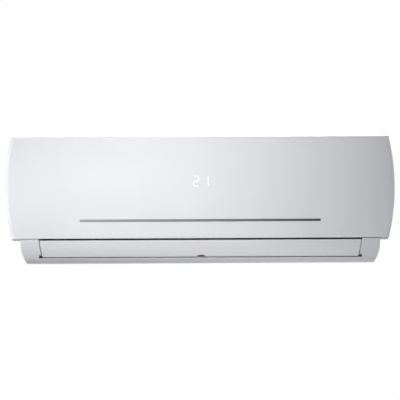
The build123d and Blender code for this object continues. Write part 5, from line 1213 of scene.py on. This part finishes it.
@dataclass
class Studio:
    """Floor, lamps, world and camera, in metres."""

    distance: float = 10.0
    face_at: float = 0.178
    pixel: float = 0.0021662
    frame_pixels: int = 400
    sensor: float = 36.0
    clip_end: float = 400.0
    shift: Pair = (-0.0002, 0.0002)
    roll: float = 0.28
    floor: float = -10.5
    floor_half: float = 90.0
    floor_share: float = 0.84
    floor_rough: float = 0.8
    floor_tones: Pair = (0.80, 0.77)
    floor_clouds: Pair = (3.0, 2.0)
    lamps: tuple[Lamp, ...] = (
        Lamp("wash_right", (0.9, -2.6, 1.2), (-0.3, -0.18, 0.0), (0.4, 0.4), 201.0, cone=22.0),
        Lamp("wash_left", (-0.8, -2.2, 1.4), (-0.05, -0.18, 0.0), (0.5, 0.5), 139.0, cone=26.0),
        Lamp("upper", (-0.4, -3.0, 0.25), (-0.1, -0.18, 0.15), (0.4, 0.4), 37.0, cone=14.0),
        Lamp("top_left", (-0.8, -1.2, 1.4), (-0.3, -0.15, 0.0), (0.8, 0.8), 2.5),
        Lamp("under", (0.1, -0.6, -1.8), (0.0, -0.15, -0.1), (1.6, 0.6), 3.0),
        Lamp("under_right", (0.3, -1.4, -2.0), (0.2, -0.15, -0.1), (0.3, 0.3), 52.0, cone=26.0),
        Lamp("rim_left", (-2.4, -0.5, -0.6), (-0.42, -0.17, 0.0), (0.15, 0.15), 235.0, cone=8.0),
        Lamp("behind", (0.6, 2.2, 1.2), (0.0, 0.0, 0.0), (1.6, 1.2), 32.0, mirrored=True),
        Lamp("side_left", (-2.4, 0.2, 0.6), (-0.42, -0.09, 0.0), (1.0, 1.0), 11.0),
        Lamp("side_right", (2.4, 0.2, 0.6), (0.42, -0.09, 0.0), (1.0, 1.0), 6.0),
    )
    world: float = 0.19
    world_colour: Triple = (0.96, 0.972, 1.0)

    def camera(self) -> None:
        """Level camera in front of the unit, turned by the photograph's small roll."""
        lens = bpy.data.cameras.new("camera")
        lens.sensor_width = self.sensor
        lens.lens = self.sensor * (self.distance - self.face_at) / (self.pixel * self.frame_pixels)
        lens.clip_end = self.clip_end
        made = shown("camera", lens)
        made.location = (self.shift[0], -self.distance, self.shift[1])
        made.rotation_euler = (math.radians(90.0), math.radians(self.roll), 0.0)
        bpy.context.scene.camera = made

    def backdrop(self) -> bpy.types.Material:
        """Pale floor with a share of its own white, so that it is bright and still takes a shadow.

        Returns:
            The floor's material.
        """
        made = bpy.data.materials.new("studio_floor")
        made.use_nodes = True
        weave = Weave(made.node_tree)
        clouds = weave.noise(weave.place(EVEN), *self.floor_clouds)
        weave.colour(clouds, *((tone, tone, tone) for tone in self.floor_tones))
        inputs = {0: weave.seen(), 1: self.floor_share}
        glow = weave.add("ShaderNodeMath", inputs, operation="MULTIPLY").outputs[0]
        white = {"Emission Color": (1.0, 1.0, 1.0, 1.0), "Emission Strength": glow}
        weave.feed(weave.shader, {"Roughness": self.floor_rough, **white})
        return made

    def sky(self) -> None:
        """World that is white where it is seen or mirrored, and a soft even light elsewhere."""
        world = bpy.data.worlds.new("studio_world")
        world.use_nodes = True
        bpy.context.scene.world = world
        weave = Weave(world.node_tree)
        out = next(n for n in world.node_tree.nodes if n.type == "OUTPUT_WORLD")
        plain = weave.shader
        weave.feed(plain, {"Color": (*self.world_colour, 1.0), "Strength": self.world})
        white = weave.add("ShaderNodeBackground", {"Color": (1.0, 1.0, 1.0, 1.0)})
        shades = {1: plain.outputs["Background"], 2: white.outputs["Background"]}
        mix = weave.add("ShaderNodeMixShader", {"Fac": weave.seen(), **shades})
        weave.feed(out, {"Surface": mix.outputs["Shader"]})

    def build(self) -> None:
        """Sets the stage."""
        corners = self.floor_half * np.array([[-1, -1], [1, -1], [1, 1], [-1, 1]], float)
        mesh = bpy.data.meshes.new("studio_floor")
        mesh.from_pydata([(x, y, self.floor) for x, y in corners], [], [(0, 1, 2, 3)])
        mesh.materials.append(self.backdrop())
        shown("studio_floor", mesh)
        self.sky()
        for lamp in self.lamps:
            lamp.hang()
        self.camera()
        bpy.context.scene.view_settings.view_transform = "Standard"


def main() -> None:
    """Builds every assembly."""
    logging.basicConfig(level=logging.INFO, format="%(name)s: %(message)s")
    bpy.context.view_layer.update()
    for assembly in (Studio(), PanelAssembly(), CasingAssembly(), AirPath(), InnerWorks()):
        log.info("building %s", type(assembly).__name__)
        assembly.build()


if __name__ == "__main__":
    main()
